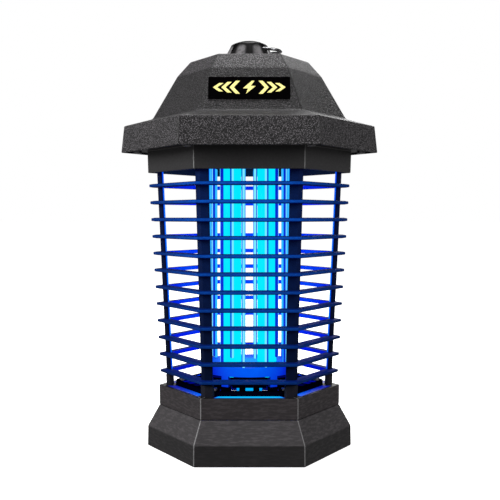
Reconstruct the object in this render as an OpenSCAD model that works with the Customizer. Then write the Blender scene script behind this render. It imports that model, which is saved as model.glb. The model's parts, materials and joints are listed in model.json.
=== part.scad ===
// Electric bug zapper, lantern style: a hexagonal guard of stacked rings around
// a high-voltage rod grid and a twin-leg ultraviolet lamp, under a faceted hood,
// on a flared tray that pulls off downwards.
// Origin: centre of the underside. +Z up, front face of the hexagon towards -Y.

/* [Overall levels] */
// Height of the proud part of the rubber pads
pad_proud = 0.5; // [0.3:0.1:1]
// Top of the flared tray
tray_top_z = 32.7; // [30:0.1:34]
// Free gap between the tray and the base ring
tray_gap = 0.3; // [0.2:0.1:0.5]
// Top of the base ring's ledge
ledge_z = 48.6; // [46:0.1:51]
// Bottom edge of the head frame's skirt
collar_z = 214.2; // [212:0.1:216]
// Underside of the ceiling inside the skirt
ceiling_z = 221; // [219:0.1:221.5]
// Bottom edge of the hood's brim
brim_z = 229.9; // [229:0.1:232]
// Flat top of the hood
hood_top_z = 300.3; // [296:0.1:305]

/* [Tray] */
// Radius to the corners at the foot
foot_r = 80.1; // [79:0.1:84]
// Height of the foot's upright band
foot_h = 16.1; // [12:0.1:20]
// Radius to the corners where the tray meets the base ring
waist_r = 70.7; // [70:0.1:72]
// Wall of the tray
tray_wall = 2.2; // [1.8:0.1:3]
// Top of the tray's floor
tray_floor_z = 7; // [5:0.5:9]
// Width of each spring tongue
tongue_w = 22; // [12:1:30]
// Height that each spring tongue reaches above the tray
tongue_h = 9.5; // [6:0.5:10]

/* [Base ring] */
// Wall of the base ring
base_wall = 2.4; // [2:0.1:3]
// Height of the sockets around the post feet
socket_h = 8.4; // [6:0.1:12]
// Distance from the axis to the flats of the raised floor
deck_apothem = 52.2; // [51:0.1:53]
// Top of the raised floor
deck_z = 52; // [51:0.1:53]
// Width of a floor slot
slot_w = 5.8; // [4:0.1:6]

/* [Guard] */
// Number of guard rings
ring_count = 12; // [6:1:12]
// Middle height of the lowest ring
first_ring_z = 59.6; // [59:0.1:61]
// Distance between rings
ring_pitch = 13.15; // [12.8:0.05:13.2]
// Radius to the corners of the lowest ring
low_ring_r = 69.9; // [69:0.1:72]
// Radius to the corners of the highest ring
high_ring_r = 78.3; // [77:0.1:79]
// Thickness of a ring at its outer edge
ring_edge = 2.0; // [1.6:0.1:2.4]
// Thickness of a ring at its inner edge
ring_root = 3.0; // [2.4:0.1:3.2]
// Width of a ring
ring_w = 8.0; // [7.5:0.1:8.2]
// Width of each face of a post at its head
post_face = 6.5; // [6:0.1:7]
// Width of each face of a post at its foot
post_foot_face = 5.3; // [5:0.1:6.5]
// Depth of a post towards the axis
post_depth = 4.8; // [4.4:0.1:5.2]

/* [Grid and lamp] */
// Radius of the circle of rods
grid_r = 34; // [33:0.1:35]
// Number of rods, live and earthed in turn
rod_count = 24; // [24:12:24]
// Diameter of a rod
rod_d = 2.8; // [2.4:0.1:3]
// Radius of the lower insulator
lower_r = 37; // [36:0.1:38]
// Top of the lower insulator
lower_top_z = 67; // [66:0.1:68]
// Outer diameter of a lamp leg
lamp_d = 15; // [14:0.1:15.4]
// Distance of a lamp leg from the axis
lamp_x = 13.7; // [13:0.1:14]

/* [Hood] */
// Radius to the corners at the brim's bottom edge
brim_r = 100; // [98:0.1:102]
// Wall of the hood
hood_wall = 2.0; // [1.8:0.1:2.4]
// Radius to the corners of the head frame at the ceiling
collar_r = 79.1; // [78.5:0.1:79.5]
// Wall of the head frame
collar_wall = 2.4; // [2:0.1:3]
// Width of the name plate
plate_w = 59; // [50:1:60]
// Height of the name plate along the slope
plate_h = 18.9; // [12:0.1:20]

/* [Hanger] */
// Radius of the hanger cap at its foot
cap_r = 20; // [17:0.1:20.5]
// Diameter of the hanging bail's wire
bail_d = 2.4; // [2:0.1:2.6]
// Half the distance between the bail's legs
bail_half = 10; // [9.5:0.1:10.5]
// Reach of the bail from its pivot
bail_reach = 25.6; // [24:0.1:28]

/* [Hidden] */
$fn = 64;
eps = 0.02;
cos30 = cos(30);
tan30 = tan(30);
side_step = 60;
corner_angles = [0 : side_step : 300];
side_angles = [30 : side_step : 330];
fit_gap = 0.05;

base_z = tray_top_z + tray_gap;
base_top_r = 70.8;
base_in_a = waist_r * cos30 - base_wall;
ledge_t = 2.4;
ledge_in_a = 49.5;
tab_in_r = 49;
tab_out_r = 58.8;
tab_half_w = 3.5;
tab_h = 6;
deck_round_r = 57.5;
deck_t = 2;
deck_screw_r = 52.5;
deck_screw_d = 2.9;
deck_head_r = 2.6;
deck_head_h = 1.6;
slot_out = 48;
slot_pitch = 10.4;
outer_slot_x = 19;
outer_slot_w = 4.8;

post_low_r = 64.7;
post_high_r = 72.5;
post_h = ceiling_z - ledge_z;
post_lean = atan((post_high_r - post_low_r) / post_h);
socket_wall = 0.5;
post_overrun = 20;
post_screw_r = 1.2;
post_screw_len = 9;
post_screw_head_r = 2.3;
post_screw_head_h = 1.5;
post_foot_screw_at = post_low_r - post_depth / 2 + 0.2;
post_head_screw_at = post_high_r - post_depth / 2 + 0.3;

ceiling_t = 2.2;
ceiling_top_z = ceiling_z + ceiling_t;
flange_z = 231.4;
flange_t = 2.2;
flange_out_r = 96.8;
flange_screw_r = 87;
flange_boss_r = 4;
flange_boss_h = 17.8;
flange_screw_core = 1.5;
flange_head_r = 3.2;
flange_head_h = 2;

rod_step = 360 / rod_count;
rod_angle = rod_step / 2;
rod_tail_r = 0.8;
live_low_z = 73.8;
earth_high_z = ceiling_z - 2.7;
upper_in_r = 29;
upper_out_r = 39;
upper_top_z = ceiling_top_z + 6;
bus_in_r = 32.4;
bus_out_r = 35.4;
bus_t = 1.4;
lower_low_z = 60;
lower_plate_t = 2.6;
lower_wall = 1.3;
leg_w = 6;
strap_turn = 120;
strap_w = 3;
strap_t = 0.6;
strap_low_z = lower_low_z + 1 - strap_t;

lamp_low_z = 54;
lamp_glass = 1;
lamp_top_z = 228;
lamp_bridge_z = 58.9;
lamp_bridge_d = 9.4;
lamp_base_z = ceiling_z + 0.8;
lamp_base_top_z = 231;
lamp_base_r = 8.4;
lamp_pin_r = 1.2;
lamp_pin_top_z = 238;
lamp_pin_x = [-lamp_x - 2.5, -lamp_x + 2.5, lamp_x - 2.5, lamp_x + 2.5];

holder_z = 231.3;
holder_top_z = 246;
holder_half_x = 28;
holder_half_y = 11;
bracket_in_x = 24.6;
bracket_t = 1.6;

board_z = 252;
board_t = 1.6;
board_top_z = board_z + board_t;
board_half_x = 42;
board_half_y = 30;
pillar_x = 36.5;
pillar_y = 24.5;
pillar_r = 3.5;
board_hole_r = 1.6;

plate_t = 0.8;
motif_t = 0.5;
plate_mid_z = 272.6;
gland_z = 267;
gland_bore_r = 3.2;
gland_r = 5;
gland_flange_r = 8;

gasket_t = 0.7;
cap_z = hood_top_z + gasket_t;
cap_top_z = 316.4;
cap_shoulder_r = 14.4;
cap_shoulder_z = 312.6;
pivot_z = 309.5;
bail_drop = 2.6;
pin_in = 4.2;
slot_floor_z = 307;
bail_slot_w = bail_d + 0.9;
hanger_bolt_r = 3;
washer_t = 1.6;
washer_r = 10;
washer_low_z = hood_top_z - hood_wall - washer_t;

// Hexagon radii and heights, outside of the hood, from the brim upwards.
HOOD = [[brim_r, brim_z], [97.7, 250.5], [75.5, 256], [56.2, 288.8], [45.7, hood_top_z]];

RINGS = [for (i = [1 : ring_count]) str("guard_ring_", i < 10 ? "0" : "", i)];

// A closed outline in (distance from axis, height), given the hexagon radii on one side.
function outline(levels) = concat(
    [for (p = levels) [p[0] * cos30, p[1]]],
    [for (i = [len(levels) - 1 : -1 : 0]) [-levels[i][0] * cos30, levels[i][1]]]);

// Hexagonal solid whose corner radius follows the listed levels, with true flat faces.
module hex_solid(levels) {
    reach = 2.6 * max([for (p = levels) p[0]]);
    intersection_for(turn = [0, 60, 120])
        rotate([0, 0, turn])
            rotate([90, 0, 90])
                linear_extrude(height = reach, center = true)
                    polygon(outline(levels));
}

module hex_tube(outer, inner) {
    difference() {
        hex_solid(outer);
        hex_solid(inner);
    }
}

// Levels moved inwards, for the inside of a wall of even thickness across the flats.
function inset(levels, wall) = [for (p = levels) [p[0] - wall / cos30, p[1]]];

module bar(low, high) {
    translate(low)
        cube(high - low);
}

module upright(r, low, high) {
    translate([0, 0, low])
        cylinder(r = r, h = high - low);
}

module at_corners(r) {
    for (turn = corner_angles)
        rotate([0, 0, turn])
            translate([r, 0, 0])
                children();
}

// Rod places on the grid circle: every second place starting from the one named.
module at_rods(first) {
    for (k = [first : 2 : rod_count - 1])
        rotate([0, 0, rod_angle + k * rod_step])
            translate([grid_r, 0, 0])
                children();
}

// ---------- tray ----------

function tray_outside() = [[foot_r, pad_proud], [foot_r - 0.2, foot_h], [waist_r, tray_top_z]];

module tongue() {
    outer_y = base_in_a - 0.35;
    inner_y = outer_y - 1.6;
    bar([-tongue_w / 2, inner_y, 24], [tongue_w / 2, outer_y, tray_top_z + tongue_h]);
    bar([-tongue_w / 2, inner_y, 24], [tongue_w / 2, base_in_a + 1.4, tray_top_z - 2]);
}

module pad_places() {
    at_corners(foot_r - 12)
        children();
}

module collection_tray() {
    pad_r = 5;
    color([0.27, 0.26, 0.27]) {
        difference() {
            union() {
                hex_tube(tray_outside(), [
                    [foot_r - tray_wall / cos30, -1],
                    [foot_r - 0.2 - tray_wall / cos30, foot_h - 0.6],
                    [waist_r - tray_wall / cos30, tray_top_z + eps]]);
                hex_solid([[foot_r - 1, tray_floor_z - 2], [foot_r - 1, tray_floor_z]]);
                pad_places()
                    upright(pad_r + 1.5, 1.2, tray_floor_z - 1);
                tongue();
                rotate([0, 0, 180])
                    tongue();
            }
            pad_places()
                upright(pad_r, -1, 3);
        }
    }
}

module foot_pads() {
    color([0.1, 0.1, 0.1])
        pad_places()
            upright(5, 0, 3);
}

// ---------- base ring and floor ----------

// Cross-section of a post at its widest: the corner of a hexagon with its two faces, pointing to +X.
module post_section(grow) {
    half_w = (post_face + 1) * cos30 + grow;
    polygon([
        [grow / cos30, 0],
        [-half_w * tan30 + grow / cos30, half_w],
        [-post_depth - grow, half_w],
        [-post_depth - grow, -half_w],
        [-half_w * tan30 + grow / cos30, -half_w]]);
}

// Outline that narrows a post from its head to its foot, seen along the post's depth.
module post_taper(grow) {
    foot = post_foot_face * cos30 + grow;
    head = post_face * cos30 + grow;
    spread = (head - foot) * post_overrun / post_h;
    polygon([
        [-foot + spread, -post_overrun],
        [foot - spread, -post_overrun],
        [head + spread, post_h + post_overrun],
        [-head - spread, post_h + post_overrun]]);
}

module leaning_post(grow, low, high) {
    intersection() {
        translate([post_low_r, 0, ledge_z])
            rotate([0, post_lean, 0])
                intersection() {
                    translate([0, 0, -post_overrun])
                        linear_extrude(height = post_h + 2 * post_overrun)
                            post_section(grow);
                    rotate([90, 0, 90])
                        linear_extrude(height = 4 * post_depth, center = true)
                            post_taper(grow);
                }
        bar([0, -20, low], [120, 20, high]);
    }
}

module post_foot_holes(r) {
    at_corners(post_foot_screw_at)
        upright(r, ledge_z - ledge_t - 0.5, ledge_z + post_screw_len - 0.5);
}

module base_ring() {
    color([0.22, 0.2, 0.21])
        difference() {
            union() {
                hex_tube([[waist_r, base_z], [base_top_r, ledge_z]],
                    [[waist_r - base_wall / cos30, base_z - 1],
                     [waist_r - base_wall / cos30, ledge_z - ledge_t]]);
                at_corners(0)
                    leaning_post(socket_wall, ledge_z - 0.5, ledge_z + socket_h);
                difference() {
                    at_corners(0)
                        bar([tab_in_r - 2, -tab_half_w, ledge_z - tab_h], [tab_out_r, tab_half_w, ledge_z]);
                    upright(tab_in_r, ledge_z - tab_h - 1, ledge_z + 1);
                }
            }
            difference() {
                hex_solid([[ledge_in_a / cos30, ledge_z - ledge_t - 1], [ledge_in_a / cos30, ledge_z + 1]]);
                at_corners(0)
                    bar([tab_in_r, -tab_half_w, ledge_z - tab_h], [tab_out_r, tab_half_w, ledge_z]);
            }
            at_corners(0)
                leaning_post(0, ledge_z, ledge_z + socket_h + 1);
            post_foot_holes(post_screw_r + fit_gap);
            at_corners(deck_screw_r)
                upright(deck_screw_d / 2 + fit_gap, ledge_z - 8, ledge_z + 1);
        }
}

// One slot from its start on the sector's edge out to the common end.
module floor_slot(x, width) {
    start = (abs(x) + width / 2 + 1.2) / tan30;
    from = max(start, 25);
    bar([x - width / 2, -slot_out, deck_z - deck_t - 1], [x + width / 2, -from, deck_z + 1]);
}

module floor_grille() {
    rim_w = deck_apothem - ledge_in_a;
    color([0.06, 0.07, 0.16])
        difference() {
            intersection() {
                hex_solid([[deck_apothem / cos30, ledge_z], [deck_apothem / cos30, deck_z]]);
                upright(deck_round_r, ledge_z - 1, deck_z + 1);
            }
            difference() {
                hex_solid([[(deck_apothem - rim_w) / cos30, ledge_z - 1],
                           [(deck_apothem - rim_w) / cos30, deck_z - deck_t]]);
                at_corners(deck_screw_r)
                    upright(4.5, ledge_z - 2, deck_z);
            }
            for (side = [0 : side_step : 300])
                rotate([0, 0, side]) {
                    for (i = [-1 : 1])
                        floor_slot(i * slot_pitch, slot_w);
                    for (i = [-1, 1])
                        floor_slot(i * outer_slot_x, outer_slot_w);
                }
            at_corners(deck_screw_r)
                upright(deck_screw_d / 2 + 0.2, ledge_z - 2, deck_z + 1);
        }
}

module floor_screws() {
    color([0.5, 0.5, 0.52])
        at_corners(deck_screw_r)
            difference() {
                union() {
                    upright(deck_screw_d / 2, ledge_z - 7, deck_z + eps);
                    upright(deck_head_r, deck_z, deck_z + deck_head_h);
                }
                bar([-2.4, -0.35, deck_z + 0.9], [2.4, 0.35, deck_z + 3]);
                bar([-0.35, -2.4, deck_z + 0.9], [0.35, 2.4, deck_z + 3]);
            }
}

// ---------- guard ----------

module guard_posts() {
    color([0.05, 0.1, 0.25])
        difference() {
            at_corners(0)
                leaning_post(0, ledge_z, ceiling_z);
            post_foot_holes(post_screw_r + fit_gap);
            at_corners(post_head_screw_at)
                upright(post_screw_r + fit_gap, ceiling_z - post_screw_len, ceiling_z + 1);
        }
}

module guard_ring(i) {
    z = first_ring_z + (i - 1) * ring_pitch;
    r = low_ring_r + (high_ring_r - low_ring_r) * (i - 1) / (ring_count - 1);
    bevel_r = r - 3;
    inner = r - ring_w / cos30;
    post_back = post_low_r - post_depth / cos(post_lean) + (z - ledge_z) * tan(post_lean);
    notch_w = strap_w / 2 + fit_gap;
    color([0.04, 0.16, 0.5])
        difference() {
            hex_tube([[bevel_r, z - ring_root / 2], [r, z - ring_edge / 2],
                      [r, z + ring_edge / 2], [bevel_r, z + ring_root / 2]],
                [[inner, z - ring_root], [inner, z + ring_root]]);
            at_corners(0)
                leaning_post(0, z - ring_root, z + ring_root);
            rotate([0, 0, strap_turn])
                bar([inner - 4, -notch_w, z - ring_root],
                    [post_back + 0.4, notch_w, z + ring_root]);
        }
}

module post_foot_screws() {
    color([0.5, 0.5, 0.52])
        at_corners(post_foot_screw_at) {
            upright(post_screw_r, ledge_z - ledge_t - 0.5, ledge_z + post_screw_len - 1);
            upright(post_screw_head_r, ledge_z - ledge_t - post_screw_head_h, ledge_z - ledge_t);
        }
}

module post_head_screws() {
    color([0.5, 0.5, 0.52])
        at_corners(post_head_screw_at) {
            upright(post_screw_r, ceiling_z - post_screw_len + 0.5, ceiling_top_z + 0.5);
            upright(post_screw_head_r, ceiling_top_z, ceiling_top_z + post_screw_head_h);
        }
}

// ---------- head frame ----------

module lamp_opening(low, high) {
    half = lamp_x;
    r = lamp_base_r + 0.3;
    for (side = [-1, 1])
        translate([side * half, 0, 0])
            upright(r, low, high);
    bar([-half, -r, low], [half, r, high]);
}

module head_frame() {
    collar_top_r = collar_r + 0.5;
    color([0.15, 0.15, 0.155])
        difference() {
            union() {
                hex_tube([[collar_r, collar_z], [collar_top_r, flange_z + flange_t]],
                    [[collar_r - collar_wall / cos30, collar_z - 1],
                     [collar_top_r - collar_wall / cos30, flange_z + flange_t + 1]]);
                hex_solid([[collar_r - 1, ceiling_z], [collar_r - 1, ceiling_top_z]]);
                hex_tube([[flange_out_r, flange_z], [flange_out_r, flange_z + flange_t]],
                    [[collar_top_r - 1, flange_z - 1], [collar_top_r - 1, flange_z + flange_t + 1]]);
            }
            lamp_opening(ceiling_z - 1, ceiling_top_z + 1);
            at_rods(0)
                upright(rod_d / 2 + 0.6, ceiling_z - 1, ceiling_top_z + 1);
            at_corners(post_head_screw_at)
                upright(post_screw_r + fit_gap, ceiling_z - 1, ceiling_top_z + 1);
            at_corners(flange_screw_r)
                upright(flange_screw_core + 0.2, flange_z - 1, flange_z + flange_t + 1);
            rotate([0, 0, strap_turn])
                bar([post_high_r - post_depth - 1.2, -2, ceiling_z - 1],
                    [post_high_r - post_depth + 0.4, 2, ceiling_top_z + 1]);
        }
}

// ---------- insulators and grid ----------

module upper_insulator() {
    color([0.85, 0.85, 0.82])
        difference() {
            upright(upper_out_r, ceiling_top_z, upper_top_z);
            upright(upper_in_r, ceiling_top_z - 1, upper_top_z + 1);
            at_rods(0)
                upright(rod_d / 2, ceiling_top_z - 1, upper_top_z - 2);
            at_rods(0)
                upright(rod_tail_r, ceiling_top_z - 1, upper_top_z + 1);
        }
}

module live_rods() {
    color([0.3, 0.45, 0.8])
        at_rods(0) {
            upright(rod_d / 2, live_low_z, upper_top_z - 2);
            upright(rod_tail_r, upper_top_z - 3, upper_top_z + bus_t);
        }
}

module bus_ring(first, low) {
    difference() {
        upright(bus_out_r, low, low + bus_t);
        upright(bus_in_r, low - 1, low + bus_t + 1);
        at_rods(first)
            upright(rod_tail_r, low - 1, low + bus_t + 1);
    }
}

module live_bus_ring() {
    color([0.72, 0.6, 0.3])
        bus_ring(0, upper_top_z);
}

// Inverted cup on legs, standing on the raised floor, before it is cut in two.
module lower_insulator() {
    under_z = lower_top_z - lower_plate_t;
    difference() {
        union() {
            difference() {
                upright(lower_r, lower_low_z, lower_top_z);
                upright(lower_r - lower_wall, lower_low_z - 1, under_z);
            }
            intersection() {
                for (turn = [60, 120, 240, 300])
                    rotate([0, 0, turn])
                        bar([lower_r - 3.2, -leg_w / 2, deck_z], [lower_r + 1, leg_w / 2, lower_low_z + 1]);
                upright(lower_r, deck_z - 1, lower_low_z + 2);
            }
        }
        for (side = [-1, 1])
            translate([side * lamp_x, 0, 0])
                upright(lamp_d / 2 + 0.1, under_z - 1, lower_top_z + 1);
        at_rods(1)
            upright(rod_d / 2, under_z - 1, lower_top_z + 1);
        difference() {
            upright(bus_out_r, lower_low_z - 1, lower_low_z + 1 + bus_t);
            upright(bus_in_r, lower_low_z - 2, lower_low_z + 3);
        }
        rotate([0, 0, strap_turn])
            bar([bus_in_r, -strap_w / 2 - fit_gap, strap_low_z - fit_gap],
                [lower_r + 1, strap_w / 2 + fit_gap, strap_low_z + strap_t + fit_gap]);
    }
}

module half_space(side) {
    bar([-60, side > 0 ? 0 : -60, 40], [60, side > 0 ? 60 : 0, 80]);
}

module lower_insulator_front() {
    color([0.1, 0.35, 0.85])
        intersection() {
            lower_insulator();
            half_space(-1);
        }
}

module lower_insulator_rear() {
    color([0.1, 0.35, 0.85])
        intersection() {
            lower_insulator();
            half_space(1);
        }
}

module earth_rods() {
    under_z = lower_top_z - lower_plate_t;
    color([0.3, 0.45, 0.8])
        at_rods(1) {
            upright(rod_d / 2, under_z, earth_high_z);
            upright(rod_tail_r, lower_low_z + 1, under_z + 1);
        }
}

module earth_bus_ring() {
    color([0.72, 0.6, 0.3])
        bus_ring(1, lower_low_z + 1);
}

// Flat strap from the lower ring to a rear post, up its inner face, over and up to the board.
module earth_strap() {
    over_z = upper_top_z + bus_t + 1.6;
    low_end_r = 60.3;
    rise_r = 33;
    over_end_r = 68.1;
    half = strap_w / 2;
    color([0.72, 0.6, 0.3])
        rotate([0, 0, strap_turn]) {
            bar([bus_in_r, -half, strap_low_z], [low_end_r, half, strap_low_z + strap_t]);
            intersection() {
                translate([post_low_r, 0, ledge_z])
                    rotate([0, post_lean, 0])
                        bar([-post_depth - strap_t - eps, -half, 0], [-post_depth - eps, half, 240]);
                bar([50, -5, strap_low_z], [90, 5, over_z + strap_t]);
            }
            bar([rise_r, -half, over_z], [over_end_r, half, over_z + strap_t]);
            bar([rise_r, -half, over_z], [rise_r + strap_t, half, board_z]);
        }
}

// ---------- lamp ----------

module lamp_shape(leg_r, bridge_r, low, high) {
    for (side = [-1, 1])
        translate([side * lamp_x, 0, 0]) {
            upright(leg_r, low + leg_r, high);
            translate([0, 0, low + leg_r])
                sphere(r = leg_r);
        }
    translate([-lamp_x, 0, lamp_bridge_z])
        rotate([0, 90, 0])
            cylinder(r = bridge_r, h = 2 * lamp_x);
}

module uv_lamp() {
    color([0.1, 0.9, 1.0])
        difference() {
            lamp_shape(lamp_d / 2, lamp_bridge_d / 2, lamp_low_z, lamp_top_z);
            lamp_shape(lamp_d / 2 - lamp_glass, lamp_bridge_d / 2 - lamp_glass,
                lamp_low_z + lamp_glass, lamp_top_z + 1);
        }
}

module lamp_base() {
    color([0.9, 0.9, 0.88])
        difference() {
            union() {
                for (side = [-1, 1])
                    translate([side * lamp_x, 0, 0])
                        upright(lamp_base_r, lamp_base_z, lamp_base_top_z);
                bar([-lamp_x, -lamp_base_r, lamp_base_z], [lamp_x, lamp_base_r, lamp_base_top_z]);
                for (x = lamp_pin_x)
                    translate([x, 0, 0])
                        upright(lamp_pin_r, lamp_base_top_z - 1, lamp_pin_top_z);
            }
            for (side = [-1, 1])
                translate([side * lamp_x, 0, 0])
                    upright(lamp_d / 2, lamp_base_z - 1, lamp_top_z);
        }
}

module lamp_holder() {
    color([0.9, 0.9, 0.88])
        difference() {
            bar([-holder_half_x, -holder_half_y, holder_z], [holder_half_x, holder_half_y, holder_top_z]);
            for (x = lamp_pin_x)
                translate([x, 0, 0])
                    upright(lamp_pin_r + fit_gap, holder_z - 1, lamp_pin_top_z + 1);
        }
}

module holder_bracket() {
    leg_y = 7;
    color([0.6, 0.6, 0.62])
        for (side = [0, 180])
            rotate([0, 0, side]) {
                bar([holder_half_x - bracket_t, -leg_y, ceiling_top_z], [holder_half_x, leg_y, holder_z]);
                bar([bracket_in_x, -leg_y, holder_z - bracket_t], [holder_half_x, leg_y, holder_z]);
            }
}

module lamp_leads() {
    color([0.85, 0.2, 0.15])
        for (x = [-18, -10, 10, 18])
            translate([x, 0, 0])
                upright(1, holder_top_z, board_z);
}

// ---------- electronics ----------

module at_pillars() {
    for (x = [-pillar_x, pillar_x], y = [-pillar_y, pillar_y])
        translate([x, y, 0])
            children();
}

module board_pillars() {
    color([0.75, 0.75, 0.7])
        difference() {
            at_pillars()
                upright(pillar_r, ceiling_top_z, board_z);
            at_pillars()
                upright(board_hole_r - 0.3, board_z - 10, board_z + 1);
        }
}

module circuit_board() {
    color([0.1, 0.4, 0.2])
        difference() {
            bar([-board_half_x, -board_half_y, board_z], [board_half_x, board_half_y, board_top_z]);
            at_pillars()
                upright(board_hole_r, board_z - 1, board_top_z + 1);
        }
}

module board_screws() {
    color([0.5, 0.5, 0.52])
        at_pillars() {
            upright(board_hole_r - 0.35, board_z - 8, board_top_z + 0.5);
            upright(3, board_top_z, board_top_z + 2);
        }
}

module hv_transformer() {
    color([0.12, 0.12, 0.13]) {
        bar([-26, -13, board_top_z], [4, 13, board_top_z + 20]);
        bar([-19, -8, board_top_z + 19], [-3, 8, board_top_z + 23]);
    }
}

module hv_capacitors() {
    color([0.15, 0.3, 0.65])
        for (x = [-24 : 9 : 12])
            translate([x, 21, 0])
                upright(3.6, board_top_z, board_top_z + 9);
}

module ballast_choke() {
    color([0.75, 0.65, 0.2]) {
        bar([9, -12, board_top_z], [29, 8, board_top_z + 4]);
        translate([19, -2, 0])
            upright(7.5, board_top_z + 3, board_top_z + 15);
        bar([9, -12, board_top_z + 14], [29, 8, board_top_z + 18]);
    }
}

module smoothing_capacitor() {
    color([0.1, 0.1, 0.12])
        translate([26, 17, 0])
            upright(5, board_top_z, board_top_z + 16);
}

module terminal_block() {
    color([0.2, 0.5, 0.3])
        difference() {
            bar([-22, -28, board_top_z], [2, -19, board_top_z + 11]);
            for (x = [-18, -10, -2])
                translate([x, -23.5, 0])
                    upright(2, board_top_z + 7, board_top_z + 12);
        }
}

module fuse() {
    color([0.8, 0.8, 0.82])
        translate([8, -23.5, board_top_z + 2.6])
            rotate([0, 90, 0])
                cylinder(r = 2.6, h = 20);
}

module hv_lead() {
    color([0.8, 0.15, 0.1])
        rotate([0, 0, 15])
            translate([grid_r, 0, 0])
                upright(1.2, upper_top_z + bus_t, board_z);
}

// ---------- hood ----------

function hood_inside() = [
    [brim_r - hood_wall / cos30, brim_z - 1],
    [HOOD[1][0] - hood_wall / cos30, HOOD[1][1] - hood_wall],
    [HOOD[2][0] - 1.6, HOOD[2][1] - hood_wall],
    [HOOD[3][0] - 1.6, HOOD[3][1] - hood_wall],
    [HOOD[4][0] - 1.6, HOOD[4][1] - hood_wall]];

function dome_apothem(z) = cos30 * (HOOD[2][0]
    + (HOOD[3][0] - HOOD[2][0]) * (z - HOOD[2][1]) / (HOOD[3][1] - HOOD[2][1]));

dome_tilt = atan(cos30 * (HOOD[2][0] - HOOD[3][0]) / (HOOD[3][1] - HOOD[2][1]));

// Children drawn flat on XY are laid on the dome's face, +Z pointing out of it.
module on_dome(z, turn) {
    rotate([0, 0, turn])
        translate([0, -dome_apothem(z), z])
            rotate([90 - dome_tilt, 0, 0])
                children();
}

module hood() {
    color([0.29, 0.29, 0.3])
        difference() {
            union() {
                hex_tube(HOOD, hood_inside());
                at_corners(flange_screw_r)
                    upright(flange_boss_r, flange_z + flange_t, flange_z + flange_t + flange_boss_h);
            }
            at_corners(flange_screw_r)
                upright(flange_screw_core + fit_gap, flange_z, flange_z + 12);
            upright(hanger_bolt_r + 0.3, hood_top_z - 10, hood_top_z + 1);
            on_dome(gland_z, 180)
                translate([0, 0, -8])
                    cylinder(r = gland_r, h = 16);
        }
}

module hood_screws() {
    color([0.5, 0.5, 0.52])
        at_corners(flange_screw_r) {
            upright(flange_screw_core, flange_z - 0.5, flange_z + 11);
            upright(flange_head_r, flange_z - flange_head_h, flange_z);
        }
}

module name_plate() {
    color([0.02, 0.02, 0.02])
        on_dome(plate_mid_z, 0)
            translate([-plate_w / 2, -plate_h / 2, 0])
                cube([plate_w, plate_h, plate_t]);
}

// Generic mark: a lightning bolt between slanted bars.
module plate_motif() {
    h = 5.6;
    bar_w = 3;
    slant = 2.2;
    color([1, 0.96, 0.55])
        on_dome(plate_mid_z, 0)
            translate([0, 0, plate_t])
                linear_extrude(height = motif_t) {
                    polygon([[1.8, h], [-4.6, -0.9], [-0.8, -0.9], [-2.4, -h], [4.6, 1.1], [0.9, 1.1], [3.8, h]]);
                    for (side = [-1, 1], i = [0 : 2])
                        translate([side * (10.4 + 6 * i), 0])
                            polygon([
                                [-bar_w / 2 - side * slant, h - i],
                                [bar_w / 2 - side * slant, h - i],
                                [bar_w / 2 + side * slant, 0],
                                [bar_w / 2 - side * slant, i - h],
                                [-bar_w / 2 - side * slant, i - h],
                                [-bar_w / 2 + side * slant, 0]]);
                }
}

module cord_gland() {
    color([0.08, 0.08, 0.08])
        on_dome(gland_z, 180)
            difference() {
                union() {
                    translate([0, 0, -4])
                        cylinder(r = gland_r, h = 5);
                    cylinder(r = gland_flange_r, h = 1.8);
                    cylinder(r = gland_r + 0.6, h = 7);
                }
                translate([0, 0, -5])
                    cylinder(r = gland_bore_r, h = 20);
            }
}

// ---------- hanger ----------

module cap_gasket() {
    color([0.08, 0.08, 0.08])
        difference() {
            upright(cap_r - 0.8, hood_top_z, cap_z);
            upright(hanger_bolt_r + 1, hood_top_z - 1, cap_z + 1);
        }
}

// Turned shape of the cap: tapered side, rounded shoulder, shallow dome.
module cap_body() {
    dome_r = (cap_shoulder_r * cap_shoulder_r + pow(cap_top_z - cap_shoulder_z, 2))
        / (2 * (cap_top_z - cap_shoulder_z));
    intersection() {
        translate([0, 0, cap_z])
            cylinder(r1 = cap_r, r2 = cap_shoulder_r, h = cap_shoulder_z - cap_z);
        upright(cap_r + 1, cap_z, cap_shoulder_z);
    }
    intersection() {
        translate([0, 0, cap_top_z - dome_r])
            sphere(r = dome_r);
        upright(cap_shoulder_r, cap_shoulder_z - eps, cap_top_z + 1);
    }
}

module hanger_cap() {
    flute_r = 6;
    flute_depth = 1.1;
    cap_taper = atan((cap_r - cap_shoulder_r) / (cap_shoulder_z - cap_z));
    color([0.2, 0.2, 0.21])
        difference() {
            cap_body();
            for (turn = [22.5 : 45 : 337.5])
                rotate([0, 0, turn])
                    translate([cap_r + flute_r - flute_depth, 0, cap_z + 1.2])
                        rotate([0, -cap_taper, 0])
                            cylinder(r = flute_r, h = 9.5);
            for (side = [-1, 1])
                translate([0, side * bail_half, 0])
                    bar([-cap_r - 2, -bail_slot_w / 2, slot_floor_z], [cap_r + 2, bail_slot_w / 2, cap_top_z + 1]);
            translate([0, 0, pivot_z])
                rotate([90, 0, 0])
                    cylinder(r = bail_d / 2 + fit_gap, h = 2 * bail_half, center = true);
            upright(hanger_bolt_r, cap_z - 1, cap_z + 5.4);
        }
}

module hanger_bolt() {
    head_h = 4;
    color([0.6, 0.6, 0.62]) {
        upright(hanger_bolt_r, washer_low_z - head_h / 2, cap_z + 5);
        translate([0, 0, washer_low_z - head_h])
            cylinder(r = 5.8, h = head_h, $fn = 6);
    }
}

module hanger_washer() {
    color([0.6, 0.6, 0.62])
        difference() {
            upright(washer_r, washer_low_z, hood_top_z - hood_wall);
            upright(hanger_bolt_r + 0.3, hood_top_z - 10, hood_top_z + 1);
        }
}

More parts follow.
